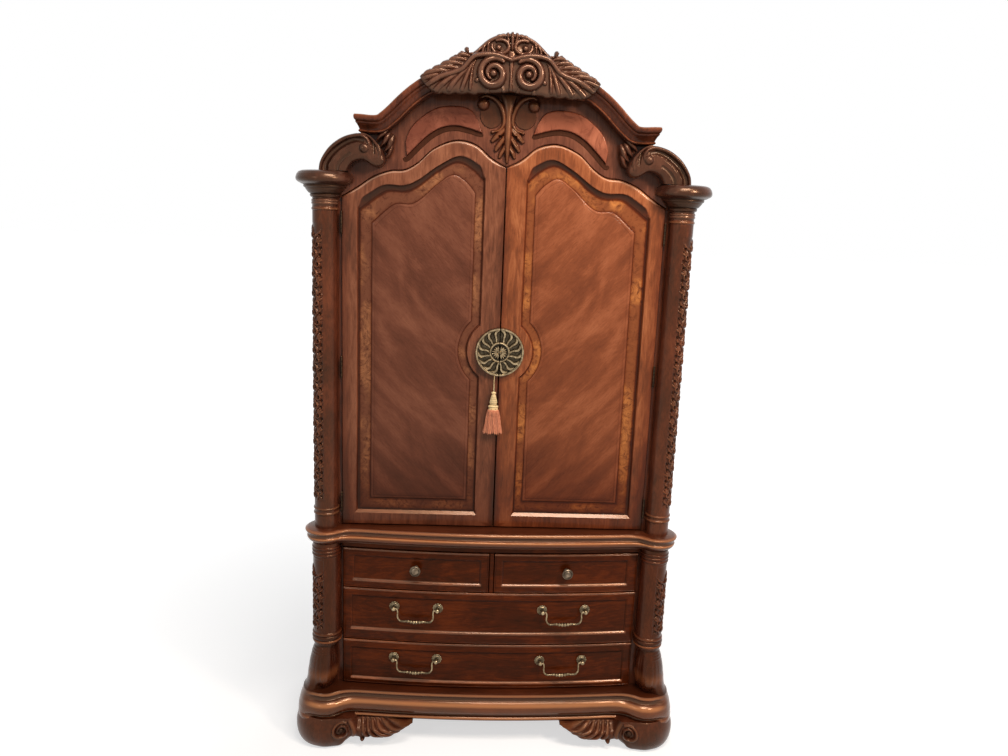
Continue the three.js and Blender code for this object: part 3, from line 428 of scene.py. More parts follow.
def piece(name, skins, finish, body, *nodes, slot, crease=36.0, second=None, chosen=None):
    """One finished piece from its skins: welded, faces outwards, smooth but for edges sharper than crease.

    It rides on its body and replaces the nodes; chosen faces take the second finish.
    """
    points, quads, folded, hollows, start = [], [], [], [], 0
    for skin in skins:
        welded, four, three, first = weld(skin[0], skin[1])
        points.append(welded)
        quads.append(four + start)
        folded.append(three + start)
        hollows.append(skin[2][first])
        start += len(welded)
    mesh = bpy.data.meshes.new(name)
    faces = np.concatenate(quads).tolist() + np.concatenate(folded).tolist()
    mesh.from_pydata(to_frame(np.concatenate(points)).tolist(), [], faces)
    # The hollow attribute paints shade where above 0 and a highlight where below 0.
    mesh.attributes.new("hollow", "FLOAT", "POINT").data.foreach_set("value", np.concatenate(hollows))
    work = bmesh.new()
    work.from_mesh(mesh)
    bmesh.ops.recalc_face_normals(work, faces=work.faces)
    work.to_mesh(mesh)
    work.free()
    mesh.shade_smooth()
    mesh.set_sharp_from_angle(angle=math.radians(crease))
    mesh.materials.append(finish)
    made = in_scene(name, mesh)
    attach(made, body)
    if nodes:
        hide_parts(*nodes)
    if chosen:
        give_second_finish(made, second, chosen)
    return made


def both(name, skins, finish, body, node=None, second=None, **settings):
    """The piece on the right and its mirror on the left: {} is the side, and a finish may differ by it."""
    for word, side in SIDES:
        first, other = (given[word] if isinstance(given, dict) else given for given in (finish, second))
        nodes = [node.format(word)] if node else []
        turned_over = [mirrored(skin, side) for skin in skins]
        piece(name.format(word), turned_over, first, body.format(word), *nodes, second=other, **settings)


# Finishes

def add_node(tree, kind, sockets=None, **settings):
    """One shader node: sockets given as numbers are set, given as another node's output are linked."""
    made = tree.nodes.new(kind)
    for key, value in settings.items():
        setattr(made, key, value)
    for key, value in (sockets or {}).items():
        if isinstance(value, bpy.types.NodeSocket):
            tree.links.new(value, made.inputs[key])
        else:
            made.inputs[key].default_value = value
    return made


def mixed(tree, share, low, high, blend="MIX"):
    """Colour low + (high - low) share, or low drawn by share to the product where blend says so."""
    made = add_node(tree, "ShaderNodeMix", {0: share, 6: low, 7: high}, data_type="RGBA", blend_type=blend)
    return made.outputs[2]


def counted(tree, operation, a, b=0.5, c=0.5):
    """One sum worked out on numbers."""
    return add_node(tree, "ShaderNodeMath", {0: a, 1: b, 2: c}, operation=operation).outputs[0]


def times(tree, a, b, plus=None):
    """The number a b, or a b + plus."""
    if plus is None:
        return counted(tree, "MULTIPLY", a, b)
    return counted(tree, "MULTIPLY_ADD", a, b, plus)


def ranged(tree, value, low, high, to_low=0.0, to_high=1.0):
    """A number moved from one range to another, kept inside it."""
    sockets = {0: value, 1: low, 2: high, 3: to_low, 4: to_high}
    return add_node(tree, "ShaderNodeMapRange", sockets).outputs[0]


def noise(tree, place, scale, detail=2.0, rough=0.5, twist=0.0):
    """Noise of so many cells a metre."""
    sockets = {"Vector": place, "Scale": scale, "Detail": detail, "Roughness": rough, "Distortion": twist}
    return add_node(tree, "ShaderNodeTexNoise", sockets).outputs["Fac"]


def stretched(tree, place, scale):
    """Coordinates scaled along each axis: a pattern is drawn out where the scale is small."""
    return add_node(tree, "ShaderNodeMapping", {"Vector": place, "Scale": scale}).outputs[0]


def begin_finish(name):
    """A new finish with its shader and the piece's own coordinates, in metres."""
    finish = bpy.data.materials.new(name)
    finish.use_nodes = True
    tree = finish.node_tree
    place = add_node(tree, "ShaderNodeTexCoord").outputs["Object"]
    return finish, tree, tree.nodes["Principled BSDF"], place


def hollow_share(tree, power=1.0):
    """How hollow each point lies, 0 on plain faces and 1 in the depths, for painted shade; below 0 on ridges,
    for a painted highlight.
    """
    value = add_node(tree, "ShaderNodeAttribute", attribute_name="hollow").outputs["Fac"]
    return value if power == 1.0 else counted(tree, "POWER", value, power)


def rgb(*levels):
    """A colour written as 0 to 255 levels, as the linear values that the shader takes."""
    return tuple(((v / 255.0 + 0.055) / 1.055) ** 2.4 if v > 10 else v / 3294.6 for v in levels) + (1.0,)


def dress(tree, shader, colour, roughness, bump, constants):
    """Links colour, roughness and bump (strength, distance, height), and sets the shader's other sockets."""
    relief = add_node(tree, "ShaderNodeBump", dict(zip(("Strength", "Distance", "Height"), bump)))
    tree.links.new(colour, shader.inputs["Base Color"])
    tree.links.new(roughness, shader.inputs["Roughness"])
    tree.links.new(relief.outputs[0], shader.inputs["Normal"])
    for key, value in constants.items():
        shader.inputs[key].default_value = value


def lacquer(gloss, green, coat, coat_rough):
    """Sockets of a lacquered face: a warm reflection, of share green in its green, and a thin clear coat."""
    return {
        "Specular IOR Level": gloss, "Specular Tint": (1.0, green, 0.32, 1.0),
        "Coat Weight": coat, "Coat Roughness": coat_rough, "Coat IOR": 1.4,
    }


def old_varnish(tree, colour, depth):
    """Painted warm shade deepens and warms the colour by depth and keeps its figure; the rest is left for the
    dark glaze and shade.
    """
    warmer = mixed(tree, ranged(tree, depth, 0.0, 0.6), colour, (0.42, 0.21, 0.11, 1.0), "MULTIPLY")
    return warmer, ranged(tree, depth, 0.4, 1.0)


def stained_wood(
    name, deep, warm, light, wear_and_highlight=(200, 132, 84), grain=0.05, level=False, slant=0.0, figure=1.0, cloud=7.0,
    curl=1.5, glaze_and_shade=(20, 8, 4), glaze_and_shade_share=0.84, rough=0.34, coat=0.16, gloss=0.16, varnish=False,
):
    """Stained and lacquered wood.

    Colour runs deep - warm - light with 0.45 cloud + 0.33 figure + 0.22 streak, three noises drawn
    out along the grain, which stands upright or lies level; its scale there is grain. Pores are thin
    dark dashes, and glaze with painted shade darkens the hollows, first warmed where varnish is set.
    Ridges, where the hollow share is below 0, take a painted highlight, partly rubbed wear: paler and
    shinier.
    Slanted grain is matched about x = 0, and wide soft bands of lighter figure cross it.
    """
    finish, tree, shader, place = begin_finish(name)
    if slant:
        parts = add_node(tree, "ShaderNodeSeparateXYZ", {0: place}).outputs
        sockets = {0: counted(tree, "ABSOLUTE", parts[0]), 1: parts[1], 2: parts[2]}
        place = add_node(tree, "ShaderNodeCombineXYZ", sockets).outputs[0]
        sockets = {0: place, 3: slant}
        place = add_node(tree, "ShaderNodeVectorRotate", sockets, rotation_type="Y_AXIS").outputs[0]

    def drawn_out(stretch):
        long = 1.0 - (1.0 - grain) * stretch
        return stretched(tree, place, (long, 1.0, 1.0) if level else (1.0, 1.0, long))

    clouds = noise(tree, drawn_out(0.65), cloud, 4.0, 0.55, curl)
    figures = noise(tree, drawn_out(0.9), cloud * 5.0, 3.0, 0.6, curl * 1.6)
    streaks = noise(tree, drawn_out(1.0), 260.0, 3.0, 0.65, 0.15)
    pores = noise(tree, drawn_out(1.0), 900.0)
    body = times(tree, clouds, 0.45)
    body = times(tree, figures, 0.33 * figure, body)
    body = times(tree, streaks, 0.22, body)
    middle = (0.45 + 0.33 * figure + 0.22) / 2.0
    share = ranged(tree, body, middle - 0.13, middle + 0.13)
    if slant:
        bands = noise(tree, stretched(tree, place, (1.0, 1.0, 0.2)), 15.0, 1.5, 0.45, 0.5)
        share = counted(tree, "ADD", times(tree, share, 0.6), ranged(tree, bands, 0.34, 0.66, 0.0, 0.4))
    low = mixed(tree, ranged(tree, share, 0.0, 0.55), rgb(*deep), rgb(*warm))
    colour = mixed(tree, ranged(tree, share, 0.5, 1.0), low, rgb(*light))
    colour = mixed(tree, ranged(tree, pores, 0.6, 0.72, 0.0, 0.45), colour, rgb(*(v * 0.45 for v in deep)))
    depth = hollow_share(tree, 1.25)
    thick = depth
    if varnish:
        colour, thick = old_varnish(tree, colour, depth)
    # Glaze with painted shade darkens the hollows.
    colour = mixed(tree, times(tree, thick, glaze_and_shade_share), colour, rgb(*glaze_and_shade))
    # Ridges take a painted highlight, partly rubbed wear: paler and shinier.
    ridge_highlight = ranged(tree, hollow_share(tree), 0.0, -1.0)
    colour = mixed(tree, ridge_highlight, colour, rgb(*wear_and_highlight))
    roughness = times(tree, clouds, 0.16, rough - 0.08)
    roughness = times(tree, depth, 0.2, roughness)
    roughness = times(tree, ridge_highlight, -0.1, roughness)
    ripple = times(tree, noise(tree, place, 24.0), 5.0, times(tree, pores, -0.5, streaks))
    dress(tree, shader, colour, roughness, (0.22, 0.0005, ripple), lacquer(gloss, 0.56, coat, 0.13))
    return finish


def burl(name, deep, warm, light, scale):
    """Burl veneer: twisted noises give the clouds, a wide one the golden patches, Voronoi eyes the pips."""
    finish, tree, shader, place = begin_finish(name)
    first = noise(tree, place, scale, 5.0, 0.62, 2.6)
    turned_place = mixed(tree, 0.12, place, first.node.outputs["Color"])
    second = noise(tree, turned_place, scale * 3.1, 4.0, 0.6, 1.4)
    eyes = add_node(tree, "ShaderNodeTexVoronoi", {"Vector": turned_place, "Scale": scale * 4.5})
    pips = ranged(tree, eyes.outputs["Distance"], 0.08, 0.3, 1.0, 0.0)
    share = times(tree, first, 0.6, times(tree, second, 0.4))
    patches = ranged(tree, noise(tree, place, 9.0, 2.0, 0.6), 0.47, 0.6, 0.05, 1.0)
    golden = times(tree, ranged(tree, share, 0.4, 0.6), patches)
    low = mixed(tree, ranged(tree, share, 0.36, 0.5), rgb(*deep), rgb(*warm))
    colour = mixed(tree, golden, low, rgb(*light))
    colour = mixed(tree, times(tree, pips, 0.35), colour, rgb(*deep))
    # Painted warm shade, then dark painted shade with glaze, in the hollows.
    colour, thick = old_varnish(tree, colour, hollow_share(tree, 1.1))
    colour = mixed(tree, times(tree, thick, 0.75), colour, rgb(26, 12, 8))
    roughness = ranged(tree, share, 0.3, 0.7, 0.38, 0.27)
    dress(tree, shader, colour, roughness, (0.15, 0.0006, share), lacquer(0.16, 0.55, 0.16, 0.12))
    return finish


def aged_metal(name, bright, dull, dark, rough):
    """Antique brass: dull patches over bright metal by noise, dark in the hollows, finely scratched."""
    finish, tree, shader, place = begin_finish(name)
    patches = noise(tree, place, 95.0, 5.0, 0.65)
    colour = mixed(tree, ranged(tree, patches, 0.42, 0.62), rgb(*dull), rgb(*bright))
    colour = mixed(tree, times(tree, hollow_share(tree, 0.9), 0.97), colour, rgb(*dark))
    roughness = ranged(tree, patches, 0.3, 0.7, rough + 0.14, rough - 0.08)
    dress(tree, shader, colour, roughness, (0.2, 0.0003, noise(tree, place, 900.0)), {"Metallic": 0.9})
    return finish


def spun_silk(name, deep, light):
    """Silk threads: fine upright streaks of noise, painted shade in the hollows between the strands, and
    sheen.
    """
    finish, tree, shader, place = begin_finish(name)
    strands = noise(tree, stretched(tree, place, (1.0, 1.0, 0.04)), 1500.0)
    colour = mixed(tree, ranged(tree, strands, 0.35, 0.65), rgb(*deep), rgb(*light))
    colour = mixed(tree, times(tree, hollow_share(tree), 0.6), colour, rgb(*(v * 0.45 for v in deep)))
    roughness = ranged(tree, strands, 0.3, 0.7, 0.62, 0.48)
    sheen = {"Sheen Weight": 0.35, "Sheen Roughness": 0.4}
    dress(tree, shader, colour, roughness, (0.5, 0.0004, strands), sheen)
    return finish


def for_doors(make, name, left, right, **settings):
    """A finish for each door: the two differ only in their colours, the right door's lighter and warmer,
    partly veneer that differs and partly painted light.
    """
    sides = (("left", left), ("right", right))
    return {word: make(name + "_" + word, *colours, **settings) for word, colours in sides}


case_finish = stained_wood("case_wood", (46, 20, 11), (84, 40, 24), (112, 58, 36), grain=0.06, coat=0.3)
rail_finish = stained_wood(
    "moulding_wood", (54, 22, 9), (88, 37, 16), (116, 53, 26), (212, 138, 86), grain=0.06, level=True,
    rough=0.24, coat=0.2, gloss=0.75, figure=0.4, cloud=4.0,
)
carved_finish = stained_wood(
    "carved_wood", (46, 20, 11), (76, 35, 20), (102, 51, 31), grain=0.3, figure=0.8,
    glaze_and_shade=(15, 6, 3), glaze_and_shade_share=0.88, rough=0.3, coat=0.12, gloss=0.4,
)
dark_carved = stained_wood(
    "dark_carved_wood", (37, 18, 12), (60, 31, 22), (88, 50, 37), (196, 132, 98), grain=0.3, figure=0.6,
    glaze_and_shade=(12, 4, 2), glaze_and_shade_share=0.92, rough=0.26, coat=0.12, gloss=0.5,
)
crest_finish = stained_wood(
    "crest_wood", (38, 18, 12), (62, 33, 24), (87, 51, 38), (164, 110, 84), grain=0.3, figure=0.6,
    glaze_and_shade=(18, 8, 5), glaze_and_shade_share=0.86, rough=0.24, coat=0.24, gloss=0.7,
)
vase_finish = stained_wood(
    "vase_wood", (44, 16, 7), (72, 29, 14), (98, 45, 24), (206, 124, 76), grain=0.3, figure=0.5,
    glaze_and_shade=(20, 7, 3), rough=0.24, coat=0.06, gloss=0.34,
)
frame_finishes = for_doors(
    stained_wood, "door_frame_wood",
    ((63, 31, 19), (109, 61, 41), (139, 86, 61), (214, 176, 150)),
    ((80, 37, 18), (130, 68, 37), (164, 98, 60), (226, 180, 146)),
    grain=0.1, coat=0.24, gloss=0.34, cloud=5.0, varnish=True,
)
head_finish = stained_wood(
    "tympanum_wood", (71, 36, 24), (103, 58, 41), (125, 75, 54), grain=0.06, coat=0.3,
)
drawer_finish = stained_wood(
    "drawer_veneer", (45, 15, 2), (77, 28, 6), (106, 44, 13), grain=0.1, level=True, cloud=5.0, curl=2.2,
    coat=0.08, gloss=0.14,
)
# A lighter, glossier copy of the drawer wood: painted highlight on chosen beads and slopes.
highlight_finish = stained_wood(
    "bead_highlight_wood", (64, 28, 12), (108, 52, 26), (150, 82, 46), grain=0.1, level=True, rough=0.24,
    coat=0.4, gloss=0.9,
)
field_finishes = for_doors(
    stained_wood, "door_veneer",
    ((72, 37, 25), (104, 59, 43), (132, 82, 61)), ((90, 44, 26), (130, 70, 43), (162, 96, 64)),
    grain=0.16, slant=-0.75, curl=2.0, figure=0.5, gloss=0.2, varnish=True,
)
band_finishes = for_doors(
    burl, "band_burl",
    ((76, 39, 25), (106, 62, 44), (160, 106, 70)), ((90, 44, 24), (128, 70, 40), (190, 120, 64)), scale=30.0,
)
pad_finishes = for_doors(
    burl, "tympanum_burl",
    ((80, 38, 27), (108, 58, 43), (134, 78, 59)), ((98, 48, 33), (134, 75, 54), (164, 98, 72)), scale=13.0,
)
# Dark, dull wood of the painted shadow under the tympanum pads.
pad_shadow_finish = stained_wood("pad_shadow_wood", (52, 27, 18), (66, 35, 24), (78, 42, 30), rough=0.6, coat=0.0)
bristle = stained_wood(
    "outlet_bristle", (12, 11, 10), (18, 17, 16), (28, 26, 24), grain=0.04, rough=0.7, coat=0.0, gloss=0.3,
)
inner_finish = stained_wood(
    "interior_wood", (84, 50, 30), (112, 70, 44), (136, 90, 60), level=True, rough=0.5, coat=0.0,
)
inner_upright = stained_wood(
    "interior_back_wood", (80, 47, 28), (108, 67, 42), (130, 86, 57), rough=0.5, coat=0.0,
)
brass = aged_metal("antique_brass", (186, 164, 128), (126, 108, 82), (16, 12, 9), rough=0.3)
knob_brass = aged_metal("knob_brass", (142, 124, 104), (92, 78, 64), (22, 17, 13), rough=0.36)
dark_brass = aged_metal("hinge_brass", (70, 52, 36), (46, 32, 22), (16, 11, 8), rough=0.42)
head_silk = spun_silk("cream_silk", (206, 166, 110), (250, 226, 174))
skirt_silk = spun_silk("rose_silk", (178, 92, 62), (236, 154, 112))


# Moulded base and waist

def moulding_loops(forward, swell, radius, side_half, back, z, console=None):
    """Plan loops, one for each row of the moulding, and each column's share of the plain console corner.

    Front: y = -forward - swell (1 - s^2), s = x / join; corner: an arc about the column's axis, whose
    radius runs over to console(z) on its outer part; side: straight to the back. Where front and corner
    meet, each point is drawn 18 times toward the middle of its neighbours. The left half mirrors.
    """
    forward, radius, side_half, z = (np.asarray(v, float)[:, None] for v in (forward, radius, side_half, z))
    join = np.arcsin(np.clip((forward + CORNER_Y) / radius, -1.0, 1.0))
    turn = np.arccos(np.clip((side_half - CORNER_OUT) / radius, -1.0, 1.0))
    join_x = CORNER_OUT - radius * np.cos(join)
    s = np.linspace(0.0, 1.0, 40)[None, :-1]
    angle = np.pi + join + (np.pi + turn - join) * np.linspace(0.0, 1.0, 34)[None, :]
    plain = 0.0 * angle
    if console is not None:
        plain = ease(angle, np.radians(292.0), np.radians(326.0))
        radius = radius + (np.asarray(console, float)[:, None] - radius) * plain
    corner_x = CORNER_OUT + radius * np.cos(angle)
    corner_y = CORNER_Y + radius * np.sin(angle)
    run = np.linspace(0.0, 1.0, 25)[None, 1:]
    fade = 1.0 - ease(run, 0.02, 0.2)
    wide = [s * join_x, corner_x, side_half + (corner_x[:, -1:] - side_half) * fade, side_half * (1.0 - run)]
    side_y = corner_y[:, -1:] + (back - corner_y[:, -1:]) * run
    deep = [-forward - swell * (1.0 - s * s), corner_y, side_y, back + 0.0 * run]
    shares = [0.0 * s, plain, plain[:, -1:] * fade, 0.0 * run]
    x, y, share = (
        np.concatenate([np.broadcast_to(v, (len(z), v.shape[1])) for v in parts], axis=1)
        for parts in (wide, deep, shares)
    )
    near = 0.5 * bell((np.arange(1.0, x.shape[1] - 1.0) - s.size) / 4.5)
    for _ in range(18):
        for values in (x, y):
            values[:, 1:-1] += near * (0.5 * (values[:, :-2] + values[:, 2:]) - values[:, 1:-1])
    x = np.concatenate([x, -x[:, -2:0:-1]], axis=1)
    y, share = (np.concatenate([v, v[:, -2:0:-1]], axis=1) for v in (y, share))
    return xyz(x, y, z), share


def moulded_board(
    rows, z0, height, forward, swell, projection, radius, flare, ripple, half, back, roof_z, console=None,
):
    """Board with a moulded edge: rows [up, out, corner swell, shade], splined, over a sunk underside.

    At the corner the radius is radius + flare times the corner swell + ripple (out - 0.5).
    """
    up, out, round_share, shade = spline(rows, 8 * (len(rows) - 1) + 1).T
    z = z0 + np.maximum.accumulate(up) * height
    loops, plain = moulding_loops(
        forward + out * projection, swell, radius + round_share * flare + ripple * (out - 0.5),
        half + out * projection, back, z, None if console is None else np.interp(z, *console),
    )
    inner = loops[0].copy()
    inner[:, 0] = np.clip(inner[:, 0], -CHEST_HALF + 40.0, CHEST_HALF - 40.0)
    inner[:, 1] = np.clip(inner[:, 1], 40.0, back - 40.0)
    roof, lid = (xyz(inner[:, 0], inner[:, 1], height_at) for height_at in (roof_z, z[-1]))
    # Painted shade: the rows' shade column, below 0 a painted highlight; half on the underside, darkest on
    # the top ledge.
    hollow = np.full((len(loops) + 3, loops.shape[1]), 0.5)
    hollow[2:-2] = np.clip(shade[:-1, None], -0.9, 0.9) * (1.0 - plain[:-1])
    hollow[-2:] = [[0.55], [0.9]]
    return tube(np.concatenate([roof[None], inner[None], loops, lid[None]]), hollow)


# Rows [up, out, corner swell, shade]: painted shade in the coves where above 0, painted highlight on beads
# and torus below 0.
BASE_ROWS = [
    [0, 0.35, 1, 0.4], [0.05, 0.62, 1, 0.2], [0.1, 0.66, 0.97, -0.5], [0.14, 0.45, 0.93, 0.1],
    [0.17, 0.15, 0.86, 0.9], [0.21, 0.15, 0.8, 0.9], [0.25, 0.55, 0.8, 0.55], [0.33, 0.88, 0.8, 0.25],
    [0.45, 1, 0.76, 0], [0.53, 0.97, 0.69, -0.05], [0.59, 0.91, 0.63, -0.55], [0.65, 0.75, 0.54, -0.6],
    [0.71, 0.42, 0.42, 0.15], [0.75, 0.12, 0.3, 0.9], [0.84, 0.1, 0.2, 0.8], [0.89, 0.38, 0.18, 0.1],
    [0.95, 0.42, 0.14, -0.4], [1, 0.28, 0.08, 0.1],
]
WAIST_ROWS = [
    [0, 0, 0, 0.6], [0.1, 0.3, 0.2, 0.6], [0.22, 0.85, 0.4, 0.35], [0.36, 1, 0.6, -0.05],
    [0.46, 0.87, 0.7, -0.6], [0.55, 0.38, 0.75, 0.5], [0.7, 0.35, 0.85, 0.9], [0.78, 0.8, 1, 0.1],
    [0.9, 0.9, 1, -0.35], [1, 0.5, 0.7, 0.1],
]
CONSOLE = ([92.0, 106.0, 130.0, 156.0, 187.0], [96.0, 96.0, 94.0, 88.0, 77.0])  # heights and radii
base = moulded_board(
    BASE_ROWS, APRON, 95.0, forward=40.0, swell=25.0, projection=17.0, radius=70.0, flare=14.0, ripple=16.0,
    half=CHEST_HALF + 12.0, back=CHEST_BACK, roof_z=169.0, console=CONSOLE,
)
piece("base_moulding", [base], rail_finish, "carcass", "base_board", slot="case_wood")
waist = moulded_board(
    WAIST_ROWS, WAIST_BOTTOM, 50.7, forward=24.0, swell=30.0, projection=12.0, radius=47.0, flare=16.0,
    ripple=9.0, half=CHEST_HALF + 8.0, back=530.0, roof_z=726.0,
)
piece("waist_moulding", [waist], rail_finish, "carcass", "waist_top", slot="case_wood")


# Carved vine that climbs the outer face of pilasters and columns

def vine_strokes(z0, z1, half):
    """Gouge strokes of a climbing vine: by turns to each side a curled leaf, its lobes and dark pockets."""
    strokes, pockets = [], []
    step = 29.0
    stem = [[0.0, z0]]
    for k in range(int((z1 - z0 - 26.0) / step)):
        way = 1.0 if k % 2 == 0 else -1.0
        drift = np.sin(2.3 * k + 1.0)
        x, z = way * half * (0.33 + 0.06 * drift), z0 + 20.0 + step * k
        stem.append([-way * half * 0.3, z])
        curl = spiral(x, z, 9.5, 3.0, 1.1, 200.0 if way > 0 else -20.0, way, 12)
        strokes.append((curl, [5.0, 6.0, 6.5, 5.0], [2.6, 3.2, 3.0], 2.2, "round"))
        for lean, reach, wide in ((0.95, 17.0, 8.0), (0.35, 22.0, 9.5), (-0.4, 15.0, 8.0)):
            foot = [x + way * 2.0, z + 3.0]
            bend = [x + way * 4.0 + way * 0.5 * reach * np.sin(lean), z + 4.0 + 0.6 * reach * np.cos(lean)]
            tip = [x + way * reach * np.sin(lean + 0.4), z + 4.0 + reach * np.cos(lean)]
            strokes.append(([foot, bend, tip], [3.0, wide, wide * 0.7], [2.0, 3.2, 1.6], 1.2, "reed"))
        leaf = [[-way * 2.0, z - 6.0], [-way * half * 0.55, z + 2.0], [-way * half * 0.82, z + 12.0]]
        strokes.append((leaf, [3.0, 9.0, 5.0], [2.0, 3.0, 1.5], 1.0, "reed"))
        across = way * half
        pockets += [
            ([[x, z - 1.0], [x + way * 0.8, z + 1.5]], 8.0 + 2.0 * drift, -5.0, 0.0, "dome"),
            ([[-across * 0.72, z - 5.0], [-across * 0.62, z - 1.0]], 7.5 - 2.0 * drift, -4.4, 0.0, "dome"),
            ([[across * 0.8, z - 9.0], [across * 0.72, z - 14.0]], 6.5, -4.0, 0.0, "dome"),
        ]
    strokes.append((stem, 5.0, 3.0, 1.6, "round"))
    return strokes + pockets


def vine(angle, z, z0, z1, radius):
    """Relief of the vine on a turned shaft, and how hollow it lies.

    The carved strip is a = 315 degrees plus or minus 43, laid flat as w = r (a - 315 degrees).
    """
    w, height = np.meshgrid(radius * (angle - np.radians(315.0)), z)
    half = radius * np.radians(43.0)
    strip = ease(half - np.abs(w), 0.0, 3.0) * ease(height - z0, 0.0, 8.0) * ease(z1 - height, 0.0, 8.0)
    relief, hollow = np.zeros(w.shape), np.zeros(w.shape)
    carved = strip > 0.0
    # The vine's ground and pockets take painted shade.
    relief[carved], hollow[carved] = carve(w[carved], height[carved], 0.0, 0.3, vine_strokes(z0, z1, half))
    return strip * (relief - 1.4), strip * hollow


def strip_angles(strip_steps, plain_steps):
    """Angles round a right-hand shaft, close together over the carved strip at 315 degrees."""
    low, high = np.radians([268.0, 362.0])
    dense = np.linspace(low, high, strip_steps, endpoint=False)
    rest = np.linspace(high, low + 2.0 * np.pi, plain_steps, endpoint=False)
    return np.concatenate([dense, rest])


def ring_swell(z, heights, half=4.0, rise=1.0):
    """Turned rings: sqrt(1 - ((z - h) / half)^2) rise at each height h."""
    return rise * np.max([dome((z - middle) / half) for middle in heights], axis=0)


VASE_TOP = 339.5
VASE_RISE = 152.0
SHAFT_RADIUS = 44.0
VASE_ROWS = [
    [0.6, 0], [0.66, 0.05], [0.84, 0.17], [0.94, 0.32], [0.95, 0.45], [0.88, 0.65], [0.74, 0.86],
    [0.63, 0.98], [0.63, 1],
]
VASE_INNER = np.array([
    [0, 21.0], [0.06, 25.0], [0.2, 32.5], [0.4, 35.5], [0.6, 35.0], [0.85, 31.5], [1, 29.0],
])


def pilaster():
    """Corner pilaster: a vase that swells into the console corner, below a ringed shaft with the vine."""
    z = np.concatenate([np.linspace(CHEST_BOTTOM, 339.3, 90), np.linspace(339.9, CHEST_TOP, 240)])
    wide, up = rising(VASE_ROWS, 80)
    vase = np.interp(z, CHEST_BOTTOM + VASE_RISE * up, 63.0 * wide)
    inner = np.interp(z, CHEST_BOTTOM + VASE_RISE * VASE_INNER[:, 0], VASE_INNER[:, 1])[:, None]
    shoulder = 37.0 + (SHAFT_RADIUS - 37.0) * quarter((z - VASE_TOP) / 9.5)
    radius = np.where(z < VASE_TOP, vase, np.where(z < VASE_TOP + 9.5, shoulder, SHAFT_RADIUS))
    radius = radius + ring_swell(z, [355.3, 381.3], 5.5, 3.6) + ring_swell(z, [368.3], 7.0, 4.4)
    radius = radius + ring_swell(z, [657.0, 669.0, 681.0], 4.0, 2.6)
    radius = (radius + ring_swell(z, [312.0, 321.0, 330.0], 3.4, 1.1))[:, None]
    angle = strip_angles(70, 60)
    relief, hollow = vine(angle, z, 396.0, 648.0, SHAFT_RADIUS)
    outward = between(angle, *np.radians([286.0, 322.0, 400.0, 440.0]))
    inward = ease(-np.cos(angle), -0.2, 0.8)
    lower = (z < VASE_TOP)[:, None]
    foot_share = np.clip((262.0 - z) / 74.7, 0.0, 1.0)[:, None]
    relief = relief + lower * outward * np.maximum(78.0 - radius, 14.0) * foot_share**1.5
    relief = relief - lower * inward * np.maximum(radius - inner, 0.0)
    swell = between(z, 196.0, 226.0, 290.0, 325.0)[:, None]
    relief = relief + lower * swell * 1.3 * np.abs(np.cos(11.0 * angle)) * (1.0 - outward)
    # Painted shade under and between the rings and on the vase's foot and top; painted highlights on the
    # rings and the vase's belly.
    shadow = 0.6 * (between(z, 361.0, 363.0, 373.0, 375.0) + between(z, 336.0, 341.0, 344.0, 350.0))
    shadow = shadow - 0.3 * ring_swell(z, [356.8], 3.0) - 0.1 * ring_swell(z, [369.0, 382.0])
    shadow = shadow + 0.7 * ease(-z, -212.0, -188.0) + 0.3 * between(z, 264.0, 296.0, 338.0, 341.0)
    shadow = shadow - 0.22 * bell((z - 240.0) / 17.0)
    rings = about(CORNER, radius + relief, angle, z[:, None])
    rings[..., 0] = np.maximum(rings[..., 0], POST_INNER)
    rings[..., 1] = np.minimum(rings[..., 1], COLUMN_BACK)
    return tube(rings, np.clip(shadow[:, None] + hollow, -1.0, 1.0))


COLUMN_RADIUS = 37.0
CAPITAL_FOOT = 1777.3
CAPITAL_RISE = 78.0
CAPITAL_ROWS = np.array([
    [0.44, 0], [0.5, 0.03], [0.52, 0.1], [0.5, 0.14], [0.57, 0.18], [0.66, 0.3], [0.69, 0.36], [0.72, 0.37],
    [0.745, 0.42], [0.73, 0.47], [0.8, 0.49], [0.93, 0.56], [0.975, 0.6], [1.0, 0.66], [1.0, 0.72],
    [0.985, 0.78], [0.96, 0.85], [0.9, 0.93], [0.8, 0.98], [0.6, 1.0],
])
CAPITAL_DARK = np.array([
    [0, 0.2], [0.12, 0.5], [0.16, 0.8], [0.33, 0.2], [0.37, 0.7], [0.45, 0.1], [0.48, 0.8], [0.52, 0.0],
])


